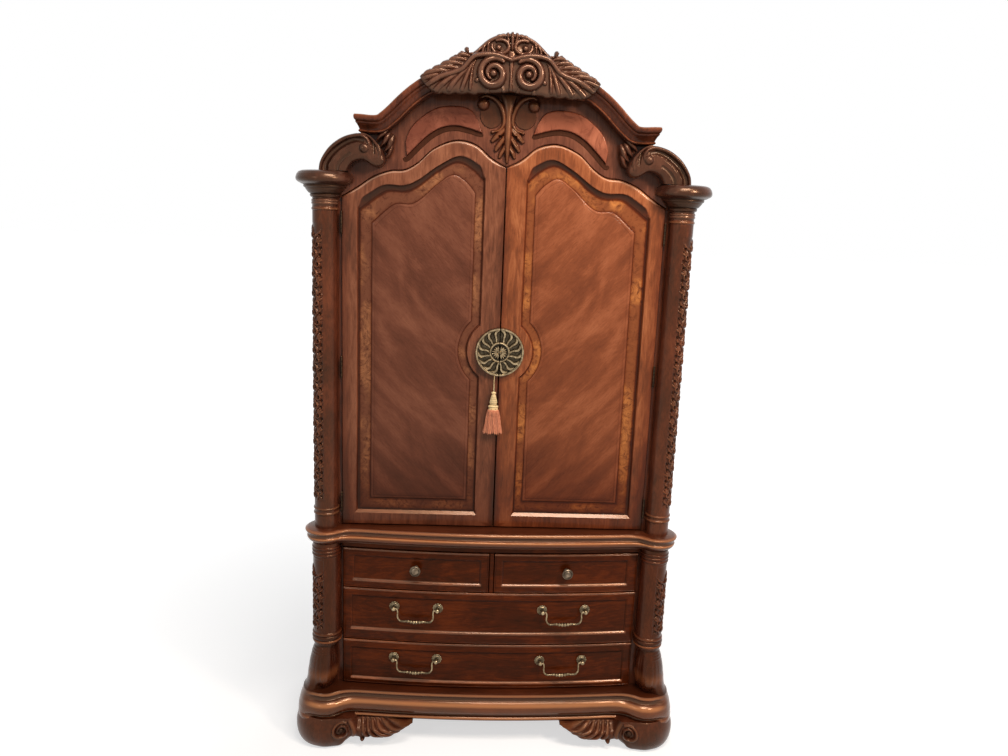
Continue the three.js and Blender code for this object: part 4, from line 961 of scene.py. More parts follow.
def column():
    """Cabinet column: ringed shaft with the vine, and a turned capital that flares to a domed top."""
    z = np.concatenate([
        np.linspace(CABINET_BOTTOM, CAPITAL_FOOT, 620), np.linspace(CAPITAL_FOOT, CABINET_TOP, 60)[1:],
    ])
    capital = np.interp(z, CAPITAL_FOOT + CAPITAL_RISE * CAPITAL_ROWS[:, 1], 84.0 * CAPITAL_ROWS[:, 0])
    radius = np.where(z < CAPITAL_FOOT - 0.3, COLUMN_RADIUS, capital)
    radius = radius + ring_swell(z, [796.3, 812.3], 4.0, 3.2)
    radius = radius + ring_swell(z, [1745.3, 1761.3, 1769.0], 4.0, 2.6)
    angle = strip_angles(58, 30)
    relief, hollow = vine(angle, z, 838.0, 1706.0, COLUMN_RADIUS)
    # The capital is darker all over with painted shade in its grooves; ring crests take a painted highlight.
    dark = np.interp(z, CAPITAL_FOOT + CAPITAL_RISE * CAPITAL_DARK[:, 0], CAPITAL_DARK[:, 1])
    dark = np.where(z > CAPITAL_FOOT - 0.3, 0.22 + dark, 0.0)
    dark = dark - 0.12 * ring_swell(z, [797.0, 813.0, 1746.0, 1762.0, 1770.0], 3.4)
    dark = dark - 0.15 * ring_swell(z, [CAPITAL_FOOT + CAPITAL_RISE * 0.8], 5.0)
    rings = about(CORNER, radius[:, None] + relief, angle, z[:, None])
    rings[..., 1] = np.minimum(rings[..., 1], COLUMN_BACK)
    return tube(rings, np.clip(dark[:, None] + hollow, -1.0, 1.0))


both("vase_pilaster_{}", [pilaster()], vase_finish, "carcass", "pilaster_{}", slot="carved_wood")
both(
    "vine_column_{}", [column()], carved_finish, "carcass", "column_{}", slot="carved_wood",
    second=dark_carved, chosen=lambda middle: middle[:, 2] > 1752.0,
)


# Scroll feet with their leaf brackets

FOOT_TOP = 106.0
FOOT_RADIUS = 102.0
FOOT_ROWS = [
    [0.45, 0], [0.7, 0.0], [0.86, 0.07], [0.95, 0.22], [0.99, 0.38], [1, 0.54], [0.99, 0.68], [0.955, 0.8],
    [0.9, 0.91], [0.85, 0.985], [0.82, 1],
]
BRACKET_LOW = [
    [-34, 0.5], [20, 0.5], [44, 0.5], [60, 7], [73, 22], [86, 33], [104, 36], [118, 34], [123, 27], [129, 23],
    [135, 27], [140, 34], [160, 36], [185, 35], [208, 33], [222, 38], [236, 48], [250, 54], [262, 65],
    [276, 76], [290, 86], [296, 89],
]
BRACKET_LEAVES = (
    ([[196, 103], [214, 92], [240, 85], [268, 83], [292, 89]], 15.0),
    ([[182, 103], [198, 85], [220, 74], [246, 70], [272, 75]], 15.0),
    ([[168, 102], [181, 78], [200, 64], [225, 57], [250, 61]], 15.0),
    ([[154, 101], [164, 74], [180, 56], [202, 46], [228, 47]], 15.0),
    ([[140, 100], [147, 72], [158, 52], [174, 41], [194, 38]], 14.0),
    ([[126, 99], [129, 74], [136, 52], [148, 38]], 14.0),
)


def bracket_strokes():
    """Gouge strokes over foot and bracket, in millimetres from the foot's axis and the floor."""
    eye = spiral(60.0, 66.0, 30.0, 10.0, 1.5, 60.0, 1.0, 30)
    hollow_leaf = [[88.0, 96.0], [98.0, 76.0], [102.0, 56.0], [98.0, 42.0]]
    strokes = [
        (eye, [9.0, 12.0, 11.0, 8.0], [4.0, 8.0, 8.0, 6.0], 2.0, "round"), pearl(60.0, 66.0, 8.5, 2.5, 0.9),
        ([[60.0, 66.0], [60.5, 66.0]], 38.0, -5.0, 0.0, "dome"),
        (hollow_leaf, [16.0, 22.0, 20.0, 12.0], [3.0, 7.0, 7.0, 3.0], 0.5, "round"),
    ]
    for points, width in BRACKET_LEAVES:
        strokes.append((points, [7.0, width, 1.1 * width, 0.8 * width], [4.0, 8.0, 9.0, 4.0], 1.0, "shingle"))
    return strokes + [pearl(129.0, 28.0, 9.0, 3.0, 0.8)]


def bracket(plane, reach, sink):
    """Face of foot and bracket over run r and height z, standing out by the rounded greater of two surfaces.

    They are the foot's own round, sqrt(radius(z)^2 - r^2), and a face at plane that leans back by sink
    toward the moulding above it; the gouge strokes stand on that. Gives r, z, how hollow each point
    lies, and the outward reach of the face and of its back.
    """
    line = spline(BRACKET_LOW, 500)
    run = np.linspace(-34.0, 296.0, 212)
    low = np.interp(run, np.maximum.accumulate(line[:, 0]), line[:, 1])
    v = np.linspace(0.0, 1.0, 54)[:, None]
    high = np.where(run < 96.0, FOOT_TOP, 91.7 + (FOOT_TOP - 91.7) * ease(-run, -112.0, -96.0))
    z = low + (high - low) * v
    wide, up = rising(FOOT_ROWS, 60)
    radius = np.interp(z, FOOT_TOP * up, FOOT_RADIUS * wide)
    round_out = np.sqrt(np.maximum(radius**2 - run**2, 0.0))
    face = plane + 5.0 * quarter(v * 2.5) - sink * ease(v, 0.45, 1.0) * ease(run, 84.0, 116.0)
    face = face - 7.0 * (1.0 - quarter((z - low) / 10.0))
    out = 0.5 * (round_out + face + np.sqrt((round_out - face) ** 2 + 100.0))
    share = ease(run, 4.0, 24.0)
    height, hollow = carve(run + 0.0 * z, z, 0.0, 0.15, bracket_strokes())
    edge = quarter((z - low + 1.0) / 7.0) * ease(296.0 - run, 0.0, 12.0) * ease(high - z, 0.0, 7.0)
    out = out + height * edge * share - 4.0 * (1.0 - ease(run, -34.0, 4.0))
    back = np.minimum(out - 4.0, plane - 36.0)
    return run * reach, z, hollow * share, (out, back)


def foot():
    """Round foot whose front and side run on into the carved brackets under the rails."""
    wide, up = (v[:, None] for v in rising(FOOT_ROWS, 60))
    round_foot = tube(about(CORNER, FOOT_RADIUS * wide, angles(96), FOOT_TOP * up))
    run, z, hollow, faces = bracket(76.0, 0.985, 33.0)
    front = slab(*(xyz(CORNER_OUT - run, CORNER_Y - out, z) for out in faces), hollow)
    run, z, hollow, faces = bracket(34.0, 0.86, 0.0)
    return [round_foot, front, slab(*(xyz(CORNER_OUT + out, CORNER_Y + run, z) for out in faces), hollow)]


both("scroll_foot_{}", foot(), carved_finish, "carcass", "foot_front_{}", slot="carved_wood")


# Drawer fronts

def drawer_face(x):
    """Bowed face: y = -5 - 30 (1 - (x / 484)^2)."""
    return -5.0 - 30.0 * (1.0 - (x / DRAWER_HALF) ** 2)


# A framed panel's rows: place in from its edge or about its border, depth, and how hollow it lies, as painted
# shade

EDGE_ROWS = np.array([
    [0.0, 2.6, 0.5], [0.5, 1.1, 0.1], [1.4, 0.2, 0], [2.6, 0.0, 0], [3.8, 0.5, 0.2], [4.6, 1.6, 0.7],
    [5.4, 0.9, 0.2], [6.4, 0.6, 0],
])
OGEE_ROWS = np.array([
    [-9.0, 0.6, 0], [-7.6, 0.3, 0], [-6.4, 0.4, 0], [-5.0, 1.0, 0], [-3.6, 2.2, 0.1], [-2.4, 3.6, 0.3],
    [-1.2, 4.5, 0.6], [-0.4, 4.8, 0.8], [0.0, 5.0, 0.6], [1.6, 5.0, 0.1],
])


def framed_lines(low, high, border_low, border_high, middle_steps):
    """Places across a framed panel, and each one's step number in from the nearer edge."""
    first, last = (np.concatenate([EDGE_ROWS[:, 0], v + OGEE_ROWS[:, 0]]) for v in (border_low, border_high))
    first, last = low + first, high - last[::-1]
    middle = np.linspace(first[-1], last[0], middle_steps + 2)[1:-1]
    steps = np.arange(len(first))
    index = np.concatenate([steps, np.full(middle_steps, steps[-1]), steps[::-1]])
    return np.concatenate([first, middle, last]), index


def framed_grid(low, high, base, top, borders, wide_steps, high_steps):
    """Grid of a framed, sunk panel: places a and b, depth below the frame, and how hollow it lies."""
    left, right, above, below = borders
    a, step_a = framed_lines(low, high, left, right, wide_steps)
    b, step_b = framed_lines(base, top, below, above, high_steps)
    rows = np.concatenate([EDGE_ROWS, OGEE_ROWS])[np.minimum(step_a[None, :], step_b[:, None])]
    return a, b[:, None], rows[..., 1], rows[..., 2]


def drawer_front(x0, x1, z0, z1, borders):
    """Bowed front with a rounded bead round its edge and an ogee down to its sunk panel."""
    x, z, depth, hollow = framed_grid(x0, x1, z0, z1, borders, 40 if x1 - x0 > 600 else 22, 6)
    return backed(xyz(x, drawer_face(x) + depth, z), 17.0, hollow)


def bright_lines(x0, x1, z0, z1, borders):
    """Chosen faces of a drawer front, which take a painted highlight: its top edge bead, and the lower edge
    of its sunk panel.
    """
    left, right, _, below = borders

    def chosen(middle):
        x, y, z = middle.T
        panel_edge = (np.abs(z - (z0 + below - 4.0)) < 4.6) & (x > x0 + left - 6.0) & (x < x1 - right + 6.0)
        return ((z > z1 - EDGE_ROWS[-1, 0]) | panel_edge) & (y < drawer_face(x) + 6.0)

    return chosen


for name, span, borders in (
    ("middle", (-DRAWER_HALF, DRAWER_HALF, 350.5, 532.5), (31, 31, 31, 42)),
    ("bottom", (-DRAWER_HALF, DRAWER_HALF, 190.3, 347.5), (31, 31, 33, 22)),
    ("upper_right", (9.0, DRAWER_HALF, 535.5, 671.0), (30, 38, 29, 30)),
    ("upper_left", (-DRAWER_HALF, -9.0, 535.5, 671.0), (38, 30, 29, 30)),
):
    piece(
        "drawer_veneer_" + name, [drawer_front(*span, borders)], drawer_finish, "drawer_" + name,
        "drawer_front_" + name, slot="veneer_wood", second=highlight_finish, chosen=bright_lines(*span, borders),
    )


def divider():
    """Upright between the small drawers, its front bowed to stand 1.5 behind theirs, with a rounded face."""
    x, z = np.meshgrid(np.linspace(-7.0, 7.0, 13), np.linspace(536.0, 672.0, 9))
    fall = 1.0 - quarter((7.0 - np.abs(x)) / 2.4)
    # Painted shade on its rounded sides, by the gaps.
    return backed(xyz(x, -33.5 + 2.4 * fall, z), 16.4, 0.35 * fall)


piece("drawer_divider", [divider()], drawer_finish, "carcass", slot="veneer_wood")


# Knobs, pull posts and bails, each square to the bowed front

def on_face(skin, x, z):
    """A fitting's skin, made facing -y, turned by atan(60 x / 484^2) and set on the sunk face at (x, z)."""
    lean = math.atan(60.0 * x / DRAWER_HALF**2)
    seat = np.array([x, drawer_face(x) + 5.0 - 0.6, z])
    cos, sin = math.cos(lean), math.sin(lean)
    turn = np.array([[cos, sin, 0.0], [-sin, cos, 0.0], [0.0, 0.0, 1.0]])
    return skin[0] @ turn + seat, skin[1], skin[2]


def facing(rows, dark, count, around, lobes=0, depth=0.0):
    """Turned work that faces -y: (r cos a, -out, r sin a) for the spline through rows [r, out].

    Its rim is waved by lobes, and dark gives how hollow it lies at some of the spline's points.
    """
    rows = spline(rows, count)
    angle = angles(around)
    radius = rows[:, :1]
    radius = radius * (1.0 + depth * (radius / radius.max()) ** 3 * np.cos(lobes * angle))
    hollow = np.interp(np.arange(count), *dark)[:, None]
    return tube(xyz(radius * np.cos(angle), -rows[:, 1:], radius * np.sin(angle)), hollow)


KNOB_OUT = 246.5
KNOB_Z = 609.25
PULL_OUT = 243.0
PULL_HALF = 71.5
KNOB_ROWS = [
    [10.8, -0.4], [10.8, 1.6], [9.6, 2.6], [8.0, 3.2], [8.6, 4.4], [6.6, 5.6], [5.8, 8.0], [6.2, 11.5],
    [8.6, 14.0], [13.6, 15.6], [16.9, 17.6], [18.0, 20.4], [17.4, 23.0], [15.2, 25.0], [13.4, 25.2],
    [12.2, 24.6], [11.0, 25.6], [8.0, 27.4], [4.0, 28.4], [0.6, 28.6],
]
KNOB_DARK = ([0, 8, 12, 20, 34, 44, 51, 54, 58, 69], [0.8, 0.5, 0.9, 0.8, 0.3, 0.0, 0.5, 0.8, 0.1, 0.0])
for word, side in SIDES:
    skin = on_face(facing(KNOB_ROWS, KNOB_DARK, 70, 48), side * KNOB_OUT, KNOB_Z)
    piece(
        "turned_knob_" + word, [skin], knob_brass, "drawer_upper_" + word, "knob_" + word,
        slot="antique_brass",
    )

ROSETTE_ROWS = [
    [16.5, -0.4], [16.5, 1.4], [15.6, 2.4], [14.2, 2.6], [13.2, 2.0], [12.0, 2.4], [10.6, 3.8], [8.6, 4.8],
    [7.6, 5.2], [6.2, 6.2], [5.6, 9.0], [5.6, 12.4], [6.6, 14.4], [7.2, 17.0], [7.4, 20.0], [7.0, 23.4],
    [5.6, 26.0], [3.0, 27.6], [0.5, 28.0],
]
ROSETTE_DARK = ([0, 6, 12, 16, 22, 30, 36, 44, 59], [0.8, 0.1, 0.9, 0.3, 0.7, 0.8, 0.5, 0.1, 0.0])
BAIL_HALF = [
    [78.0, 0.0], [70.5, 0.0], [64.2, 0.0], [59.4, -2.4], [58.0, -12.0], [58.6, -22.0], [56.5, -33.0],
    [49.0, -41.0], [38.0, -42.6], [26.0, -41.6], [12.0, -43.4],
]


def pull_post(reach):
    """Post of a pull: a petalled rosette under a turned stem whose ball head holds the bail's end."""
    skin = facing(ROSETTE_ROWS, ROSETTE_DARK, 60, 64, 12, 0.045)
    return skin[0] + [reach, 0.0, 0.0], skin[1], skin[2]


def bail():
    """Hanging bail: a rod through the posts, of radius 2.7, with beads about the middle of its foot."""
    line = spline(BAIL_HALF + [[0.0, -44.0]] + [[-x, z] for x, z in BAIL_HALF[::-1]], 240)
    line = even(line, 220)
    run = heading(line)
    x, z = line[:, :1], line[:, 1:]
    low = ease(-z, 36.0, 41.0)
    beads = np.abs(np.sin(np.pi * x / 9.5)) ** 1.5 * ease(-np.abs(x), -42.0, -10.0)
    radius = 2.7 + low * (0.7 + 2.0 * beads * ease(-np.abs(x), -40.0, -24.0) + 1.3 * bell(x / 9.0))
    angle = angles(14)
    reach = radius * np.cos(angle)
    rings = xyz(x - run[:, 1:] * reach, -20.0 + radius * np.sin(angle), z + run[:, :1] * reach)
    return tube(rings, np.clip(low * (1.0 - beads) * 0.6, 0.0, 1.0))


for row, height in (("middle", 474.0), ("bottom", 290.9)):
    for word, side in SIDES:
        for end, way in (("outer", 1), ("inner", -1)):
            node = "pull_post_" + row + "_" + word + "_" + end
            skin = on_face(pull_post(way * side * PULL_HALF), side * PULL_OUT, height)
            piece("rosette_" + node, [skin], brass, "drawer_" + row, node, slot="antique_brass")
        name = "bail_" + row + "_" + word
        skin = on_face(bail(), side * PULL_OUT, height)
        piece("beaded_" + name, [skin], brass, name, name, slot="antique_brass")


# Doors; every loop round one has the same 276 points, so two can be drawn together point by point

DOOR_TOP = [
    [0, 0.59], [0.092, 0.73], [0.187, 0.937], [0.307, 1], [0.44, 0.856], [0.538, 0.61], [0.617, 0.483],
    [0.71, 0.454], [0.81, 0.35], [0.905, 0.167], [1, 0],
]
PANEL_TOP = [
    [0, 0.66], [0.09, 0.87], [0.22, 1], [0.375, 0.8], [0.525, 0.51], [0.63, 0.395], [0.77, 0.39],
    [0.875, 0.24], [1, 0],
]
LOOP_PLACE = np.arange(276.0)
ARCH = ease(LOOP_PLACE, 68.0, 76.0) * (1.0 - ease(LOOP_PLACE, 169.0, 177.0))  # 1 along the arched top
DOOR_BACK = 22.0


def top_height(shares, x, x0, x1, z0, rise):
    """Height of an arched top at x: the spline through its shares, read off at (x - x0) / (x1 - x0)."""
    line = spline(shares, 400)
    return z0 + rise * np.interp((x - x0) / (x1 - x0), line[:, 0], line[:, 1])


def door_loop(x0, x1, z0, shares, shoulder, rise, radius):
    """Loop of a door's edge or panel: foot, outer stile, arched top, and inner stile that rounds the boss."""
    foot = flat_line(np.linspace(x0, x1, 20)[:-1], z0)
    x = x1 + (x0 - x1) * np.linspace(0.0, 1.0, 110)
    top = flat_line(x, top_height(shares, x, x0, x1, shoulder, rise))
    outer = flat_line(x1, np.linspace(z0, top[0, 1], 50)[:-1])
    reach = 104.0 if radius is None else radius
    half = math.acos(min(max(x0, 65.0 if radius is None else x0) / reach, 1.0))
    angle = half * (1.0 - 2.0 * np.linspace(0.0, 1.0, 40))
    boss_z = MEDALLION_Z + reach * np.sin(angle)
    boss = flat_line(x0 if radius is None else reach * np.cos(angle), boss_z)
    above = flat_line(x0, np.linspace(top[-1, 1], boss_z[0], 30)[1:-1])
    below = flat_line(x0, np.linspace(boss_z[-1], z0, 32)[1:-1])
    return np.concatenate([foot, outer, top, above, boss, below])


def window_loop(inner, outer):
    """The frame's opening, grown by inner at the meeting stile and the boss, and by outer elsewhere."""
    x0, x1, z0 = 65.5 - inner, 438.6 + outer, 798.3 - outer
    return door_loop(x0, x1, z0, PANEL_TOP, 1749.3 + outer, 150.0, 105.0 - inner)


def edge_loop(inset):
    """The door's own edge, drawn in by inset."""
    x0, x1, z0 = DOOR_EDGE + inset, DOOR_HALF - inset, DOOR_BOTTOM + inset
    return door_loop(x0, x1, z0, DOOR_TOP, DOOR_SHOULDER - inset, DOOR_RISE, None)


def door_skin(rows, shade):
    """Closed skin through a door's loops; painted shade darkens its foot, hinge edge and meeting edge."""
    rows = np.stack(rows)
    x, z = rows[..., 0], rows[..., 2]
    old = 0.48 * ease(-z, -1120.0, -790.0) + 0.5 * ease(x, 446.0, 486.0) + 0.45 * ease(-x, -22.0, -2.0)
    return tube(rows, np.where(shade < 0.0, shade, np.clip(shade + old, 0.0, 1.0)), ends=False)


# Rows of the frame's two edges: inset or growth and depth on the stiles, then the same along the arch

FRAME_EDGE = ((0.5, 1.2, 1.0, 3.6), (1.5, 0.3, 3.0, 1.7), (3.0, 0.0, 6.0, 0.6), (4.0, 0.0, 9.5, 0.0))
# Its last two columns are painted shade: faint on the stiles, deep in the cove along the arch.
WINDOW_EDGE = (  # and how hollow the row lies on the stiles and along the arch
    (9.0, 0.0, 17.5, -0.3, 0.0, 0.0), (7.0, -0.3, 15.6, -0.3, 0.0, 0.05), (5.0, -0.3, 14.4, 0.4, 0.0, 0.6),
    (4.0, 0.3, 13.2, 1.8, 0.1, 0.95), (3.2, 1.6, 11.4, 4.4, 0.3, 1.0), (2.2, 3.6, 8.4, 6.6, 0.45, 1.0),
    (1.2, 5.8, 4.6, 7.6, 0.5, 1.0), (0.4, 7.4, 1.6, 8.0, 0.55, 0.95), (0.0, 8.3, 0.0, 8.3, 0.55, 0.8),
)
REBATE = 8.3


def door_frame():
    """Frame between the door's edge and its window: rounded edge, flat stiles, and a moulded edge inside.

    The arched top has a rounder edge and a wide, deep cove over the window; both ease into the stiles.
    The window's foot is a plain slope.
    """
    foot = 1.0 - ease(LOOP_PLACE, 19.0, 21.0)
    edge = edge_loop(0.0)
    rows = [at_depth(edge, DOOR_BACK), at_depth(edge, 3.0 + 3.0 * ARCH)]
    # Painted shade on the back and edges of the frame.
    dark = [0.6 + 0.0 * ARCH, 0.4 - 0.4 * ARCH]
    for inset, y, wide, low in FRAME_EDGE:
        loop = toward(edge_loop(inset), edge_loop(wide), ARCH[:, None])
        rows.append(at_depth(loop, toward(y, low, ARCH)))
        # A painted highlight line along the arch's rounded edge.
        dark.append((-0.5 if inset == 1.5 else 0.0) * ARCH)
    start = rows[-1][:, ::2]
    end = toward(window_loop(12.0, 12.0), window_loop(20.0, 20.0), ARCH[:, None])
    rows += [at_depth(toward(start, end, w), 0.0) for w in (0.35, 0.7, 1.0)]
    dark += [0.0 * ARCH] * 3
    for grow, y, wide, low, plain, deep in WINDOW_EDGE:
        loop = toward(window_loop(grow, grow), window_loop(wide, wide), ARCH[:, None])
        slope = min(0.92 * (9.0 - grow), REBATE)
        rows.append(at_depth(loop, toward(y, low, ARCH) + (slope - y) * foot))
        dark.append(toward(plain, deep, ARCH) * (1.0 - foot))
    rows += [at_depth(window_loop(0.0, 0.0), DOOR_BACK), at_depth(edge, DOOR_BACK)]
    dark += [0.6 + 0.0 * ARCH] * 2
    return door_skin(rows, np.stack(dark))


def door_band():
    """Panel behind the window: rebate edge, back, and the band that runs round the raised field."""
    outside, inside = window_loop(9.7, 9.7), window_loop(-25.0, -40.0)
    middle = flat_line(280.0, np.clip(inside[:, 1], 950.0, 1650.0))
    back = 16.3
    rows = [at_depth(outside, back), at_depth(outside, REBATE)]
    shares = (0.2, 0.22, 0.3, 0.38, 0.6, 0.85, 0.95, 1.0)
    rows += [at_depth(toward(outside, inside, w), REBATE) for w in shares]
    rows += [at_depth(toward(inside, middle, w), 8.6) for w in (0.5, 1.0)]
    rows += [at_depth(toward(outside, middle, w), back) for w in (1.0, 0.5, 0.0)]
    # Painted shade in the cove at the band's outer edge, and on its back.
    hollow = [1, 1, 1, 1, 0.65, 0.12, 0, 0.05, 0.3, 0.7, 0.7, 0.7, 0.3, 0.3, 0.3]
    return door_skin(rows, np.array(hollow)[:, None])


FIELD_EDGE = (  # inset and depth
    (0.0, 9.0), (0.0, REBATE), (0.6, 7.6), (1.6, 6.9), (3.2, 6.2), (5.4, 5.6), (7.6, 5.25), (9.0, 5.15),
    (9.7, 5.35), (10.6, 5.0),
)


def door_field():
    """Raised field: bevel up from the band, a fine step, and a face crowned by 0.8 (1 - w^2)."""
    rows = [at_depth(window_loop(-25.0 - inset, -40.0 - inset), y) for inset, y in FIELD_EDGE]
    edge = window_loop(-35.6, -50.6)
    middle = flat_line(270.0, np.clip(edge[:, 1], 960.0, 1620.0))
    rows += [at_depth(toward(edge, middle, w), 5.0 - 0.8 * w * (2 - w)) for w in (0.12, 0.3, 0.5, 0.75, 1.0)]
    rows += [at_depth(toward(edge, middle, w), 9.0) for w in (1.0, 0.0)]
    # Painted shade at the bevel's foot and in the fine step, and on the back.
    hollow = [0.9, 0.8, 0.5, 0.2, 0, 0, 0, 0.1, 0.5, 0.1, 0, 0, 0, 0, 0, 0.5, 0.5]
    return door_skin(rows, np.array(hollow)[:, None])


def window_foot(middle):
    """Chosen faces of a door frame: the slope along the window's foot, which catches the light and takes a
    painted highlight.
    """
    across, up = np.abs(middle[:, 0]), middle[:, 2]
    return (up > 789.0) & (up < 798.6) & (across > 60.0) & (across < 444.0) & (middle[:, 1] < 9.0)


both(
    "arched_frame_{}", [door_frame()], frame_finishes, "door_{}", "door_frame_{}",
    slot="veneer_wood", crease=30.0, second=highlight_finish, chosen=window_foot,
)
both(
    "burl_band_{}", [door_band()], band_finishes, "door_{}", "door_panel_{}",
    slot="veneer_wood", crease=30.0, second=frame_finishes, chosen=lambda middle: middle[:, 1] > 12.0,
)
both("raised_field_{}", [door_field()], field_finishes, "door_{}", slot="veneer_wood", crease=30.0)


# Hinges

HINGE_AXIS = (488.5, -5.5)


def hinge(z0):
    """Barrel of five knuckles with an acorn at each end, and a leaf on the post."""
    z = np.linspace(-5.0, 65.0, 160)
    knuckle = np.abs(((z / 12.0) % 1.0) - 0.5) * 2.0
    radius = 3.5 * (1.0 - 0.16 * ease(knuckle, 0.86, 1.0))
    radius = np.where(z < 0.0, 3.3 * dome((z + 0.5) / 4.5), radius)
    radius = np.where(z > 60.0, 3.3 * dome((z - 60.5) / 4.5), radius)
    rings = about(HINGE_AXIS, np.maximum(radius, 0.05)[:, None], angles(16), (z0 + z)[:, None])
    y, height = np.meshgrid(np.array([HINGE_AXIS[1], 0.0, 29.0, 30.0]), z0 + np.array([0.0, 1.0, 59.0, 60.0]))
    leaf = xyz(487.9, y, height)
    return [tube(rings, ease(knuckle, 0.7, 1.0)[:, None]), slab(leaf, leaf + [1.2, 0.0, 0.0])]


for place, height in (("bottom", 796.3), ("middle", 1236.8), ("top", 1677.3)):
    both(
        "knuckle_hinge_{}_" + place, hinge(height), dark_brass, "carcass", "hinge_{}_" + place,
        slot="antique_brass",
    )


# Medallion, one half on each door; rows [r, y] of its rings, each with how hollow it lies

DISC_RADIUS = 76.0
RIM = np.array([
    [DISC_RADIUS, -0.3, 0.8], [DISC_RADIUS, -10, 0.4], [75.4, -13.6, 0.1], [74, -15.6, 0], [72, -16, 0],
    [70.2, -15.2, 0], [69.4, -13, 0.6], [68.6, -12.6, 0.3], [67.6, -10, 0.7], [67.6, -0.3, 1],
])
HUB = np.array([
    [0.2, -0.3, 1], [33, -0.3, 0.9], [33, -9, 0.5], [31.6, -12.4, 0.1], [29.4, -14, 0], [27, -13.4, 0.2],
    [25.6, -10.4, 0.8], [23, -9.6, 1], [0.2, -9.6, 1],
])
PLATE = np.array([[30, -0.3, 0.85], [69, -0.3, 0.85], [69, -2.2, 0.85], [30, -2.2, 0.85]])


def half_ring(rows):
    """Rows carried round the right half of a circle: (r cos a, y, r sin a), cut off at the door's edge."""
    angle = np.linspace(-np.pi / 2, np.pi / 2, 48)[:, None]
    rings = xyz(rows[:, 0] * np.cos(angle), rows[:, 1], MEDALLION_Z + rows[:, 0] * np.sin(angle))
    return cut_at(tube(rings, rows[:, 2]), DOOR_EDGE)


def on_disc(radius, angle):
    """Place [x, z] at a radius and an angle about the medallion's middle."""
    return flat_line(radius * np.cos(angle), MEDALLION_Z + radius * np.sin(angle))


def medallion():
    """Half of a pierced disc: moulded rim, eight twisted rays, a beaded hub ring and half a flower."""
    skins = [half_ring(rows) for rows in (RIM, HUB, PLATE)]
    t = np.linspace(0.0, 1.0, 16)
    for k in range(8):
        middle = -np.pi / 2 + np.pi / 8.0 * (k + 0.5)
        line = on_disc(30.0 + 41.0 * t, middle - 0.2 + 0.36 * t**1.5 + 0.07 * np.sin(2.0 * np.pi * t))
        ray = band(line, 8.0 + 8.0 * t, 8.0 + 3.0 * np.sin(np.pi * t), -1.5, "reed", sink=1.0)
        line = on_disc(5.0 + 15.0 * t, middle) + [2.0, 0.0]
        width = 1.5 + 7.4 * np.sin(np.pi * np.clip(t, 0.03, 0.97)) ** 0.8
        petal = band(line, width, 4.6 + 2.0 * t, -9.0, "reed", sink=1.0)
        skins += [cut_at(ray, DOOR_EDGE), cut_at(petal, DOOR_EDGE)]
    for k in range(14):
        x, z = on_disc(72.6, -np.pi / 2 + np.pi * (k + 0.5) / 14.0)
        skins.append(ball(x, -13.4, z, 3.0, around=10))
    return skins + [cut_at(ball(0.0, -10.0, MEDALLION_Z, 6.6, 1.2), DOOR_EDGE)]


both("pierced_medallion_{}", medallion(), brass, "door_{}", "medallion_{}", slot="antique_brass")


# Tassel on its cord

TASSEL = (-14.0, -16.0)  # the line it hangs on
TASSEL_RADIUS = 29.0
FLAT = 0.72
CORD_TOP = MEDALLION_Z - math.sqrt(DISC_RADIUS**2 - TASSEL[0] ** 2) - 0.6
CORD_LENGTH = 48.0
CORD_RUN = CORD_LENGTH + 100.0  # the cord runs on through the tassel's head, down its core
HEAD_TOP = CORD_TOP - CORD_LENGTH - 0.3
HEAD_ROWS = [
    [0.06, 0], [0.2, 0.03], [0.25, 0.09], [0.19, 0.16], [0.25, 0.26], [0.33, 0.42], [0.4, 0.56], [0.4, 0.66],
    [0.34, 0.74], [0.5, 0.78], [0.55, 0.83], [0.44, 0.87], [0.54, 0.91], [0.44, 0.95], [0.52, 1.0],
]


def twisted_cord():
    """Cord of two strands: radius 1.5 (0.94 + 0.06 cos(2 (a - 2 pi z / 5))) round the line it hangs on."""
    z = CORD_TOP - np.linspace(0.0, CORD_RUN, 400)[:, None]
    angle = angles(16)
    wave = np.cos(2.0 * (angle - 2.0 * np.pi * z / 5.0))
    # Painted shade between the strands.
    return tube(about(TASSEL, 1.5 * (0.94 + 0.06 * wave), angle, z), 0.5 - 0.5 * wave)


def tassel_head():
    """Woven head: turned rows with netting (cos 12 (a + z / 26)) (cos 12 (a - z / 26)), and neck rings."""
    rows = spline(HEAD_ROWS, 150)
    angle = angles(72)
    share = rows[:, 1:]
    z = 58.0 * share
    net = np.cos(12.0 * (angle + z / 26.0)) * np.cos(12.0 * (angle - z / 26.0))
    body = ease(share, 0.2, 0.3) * (1.0 - ease(share, 0.74, 0.8))
    radius = TASSEL_RADIUS * rows[:, :1] + 0.55 * body * net
    # Painted shade in the netting's hollows.
    return tube(about(TASSEL, radius, angle, HEAD_TOP - z, FLAT), np.clip(body * (0.4 - 0.5 * net), 0.0, 1.0))


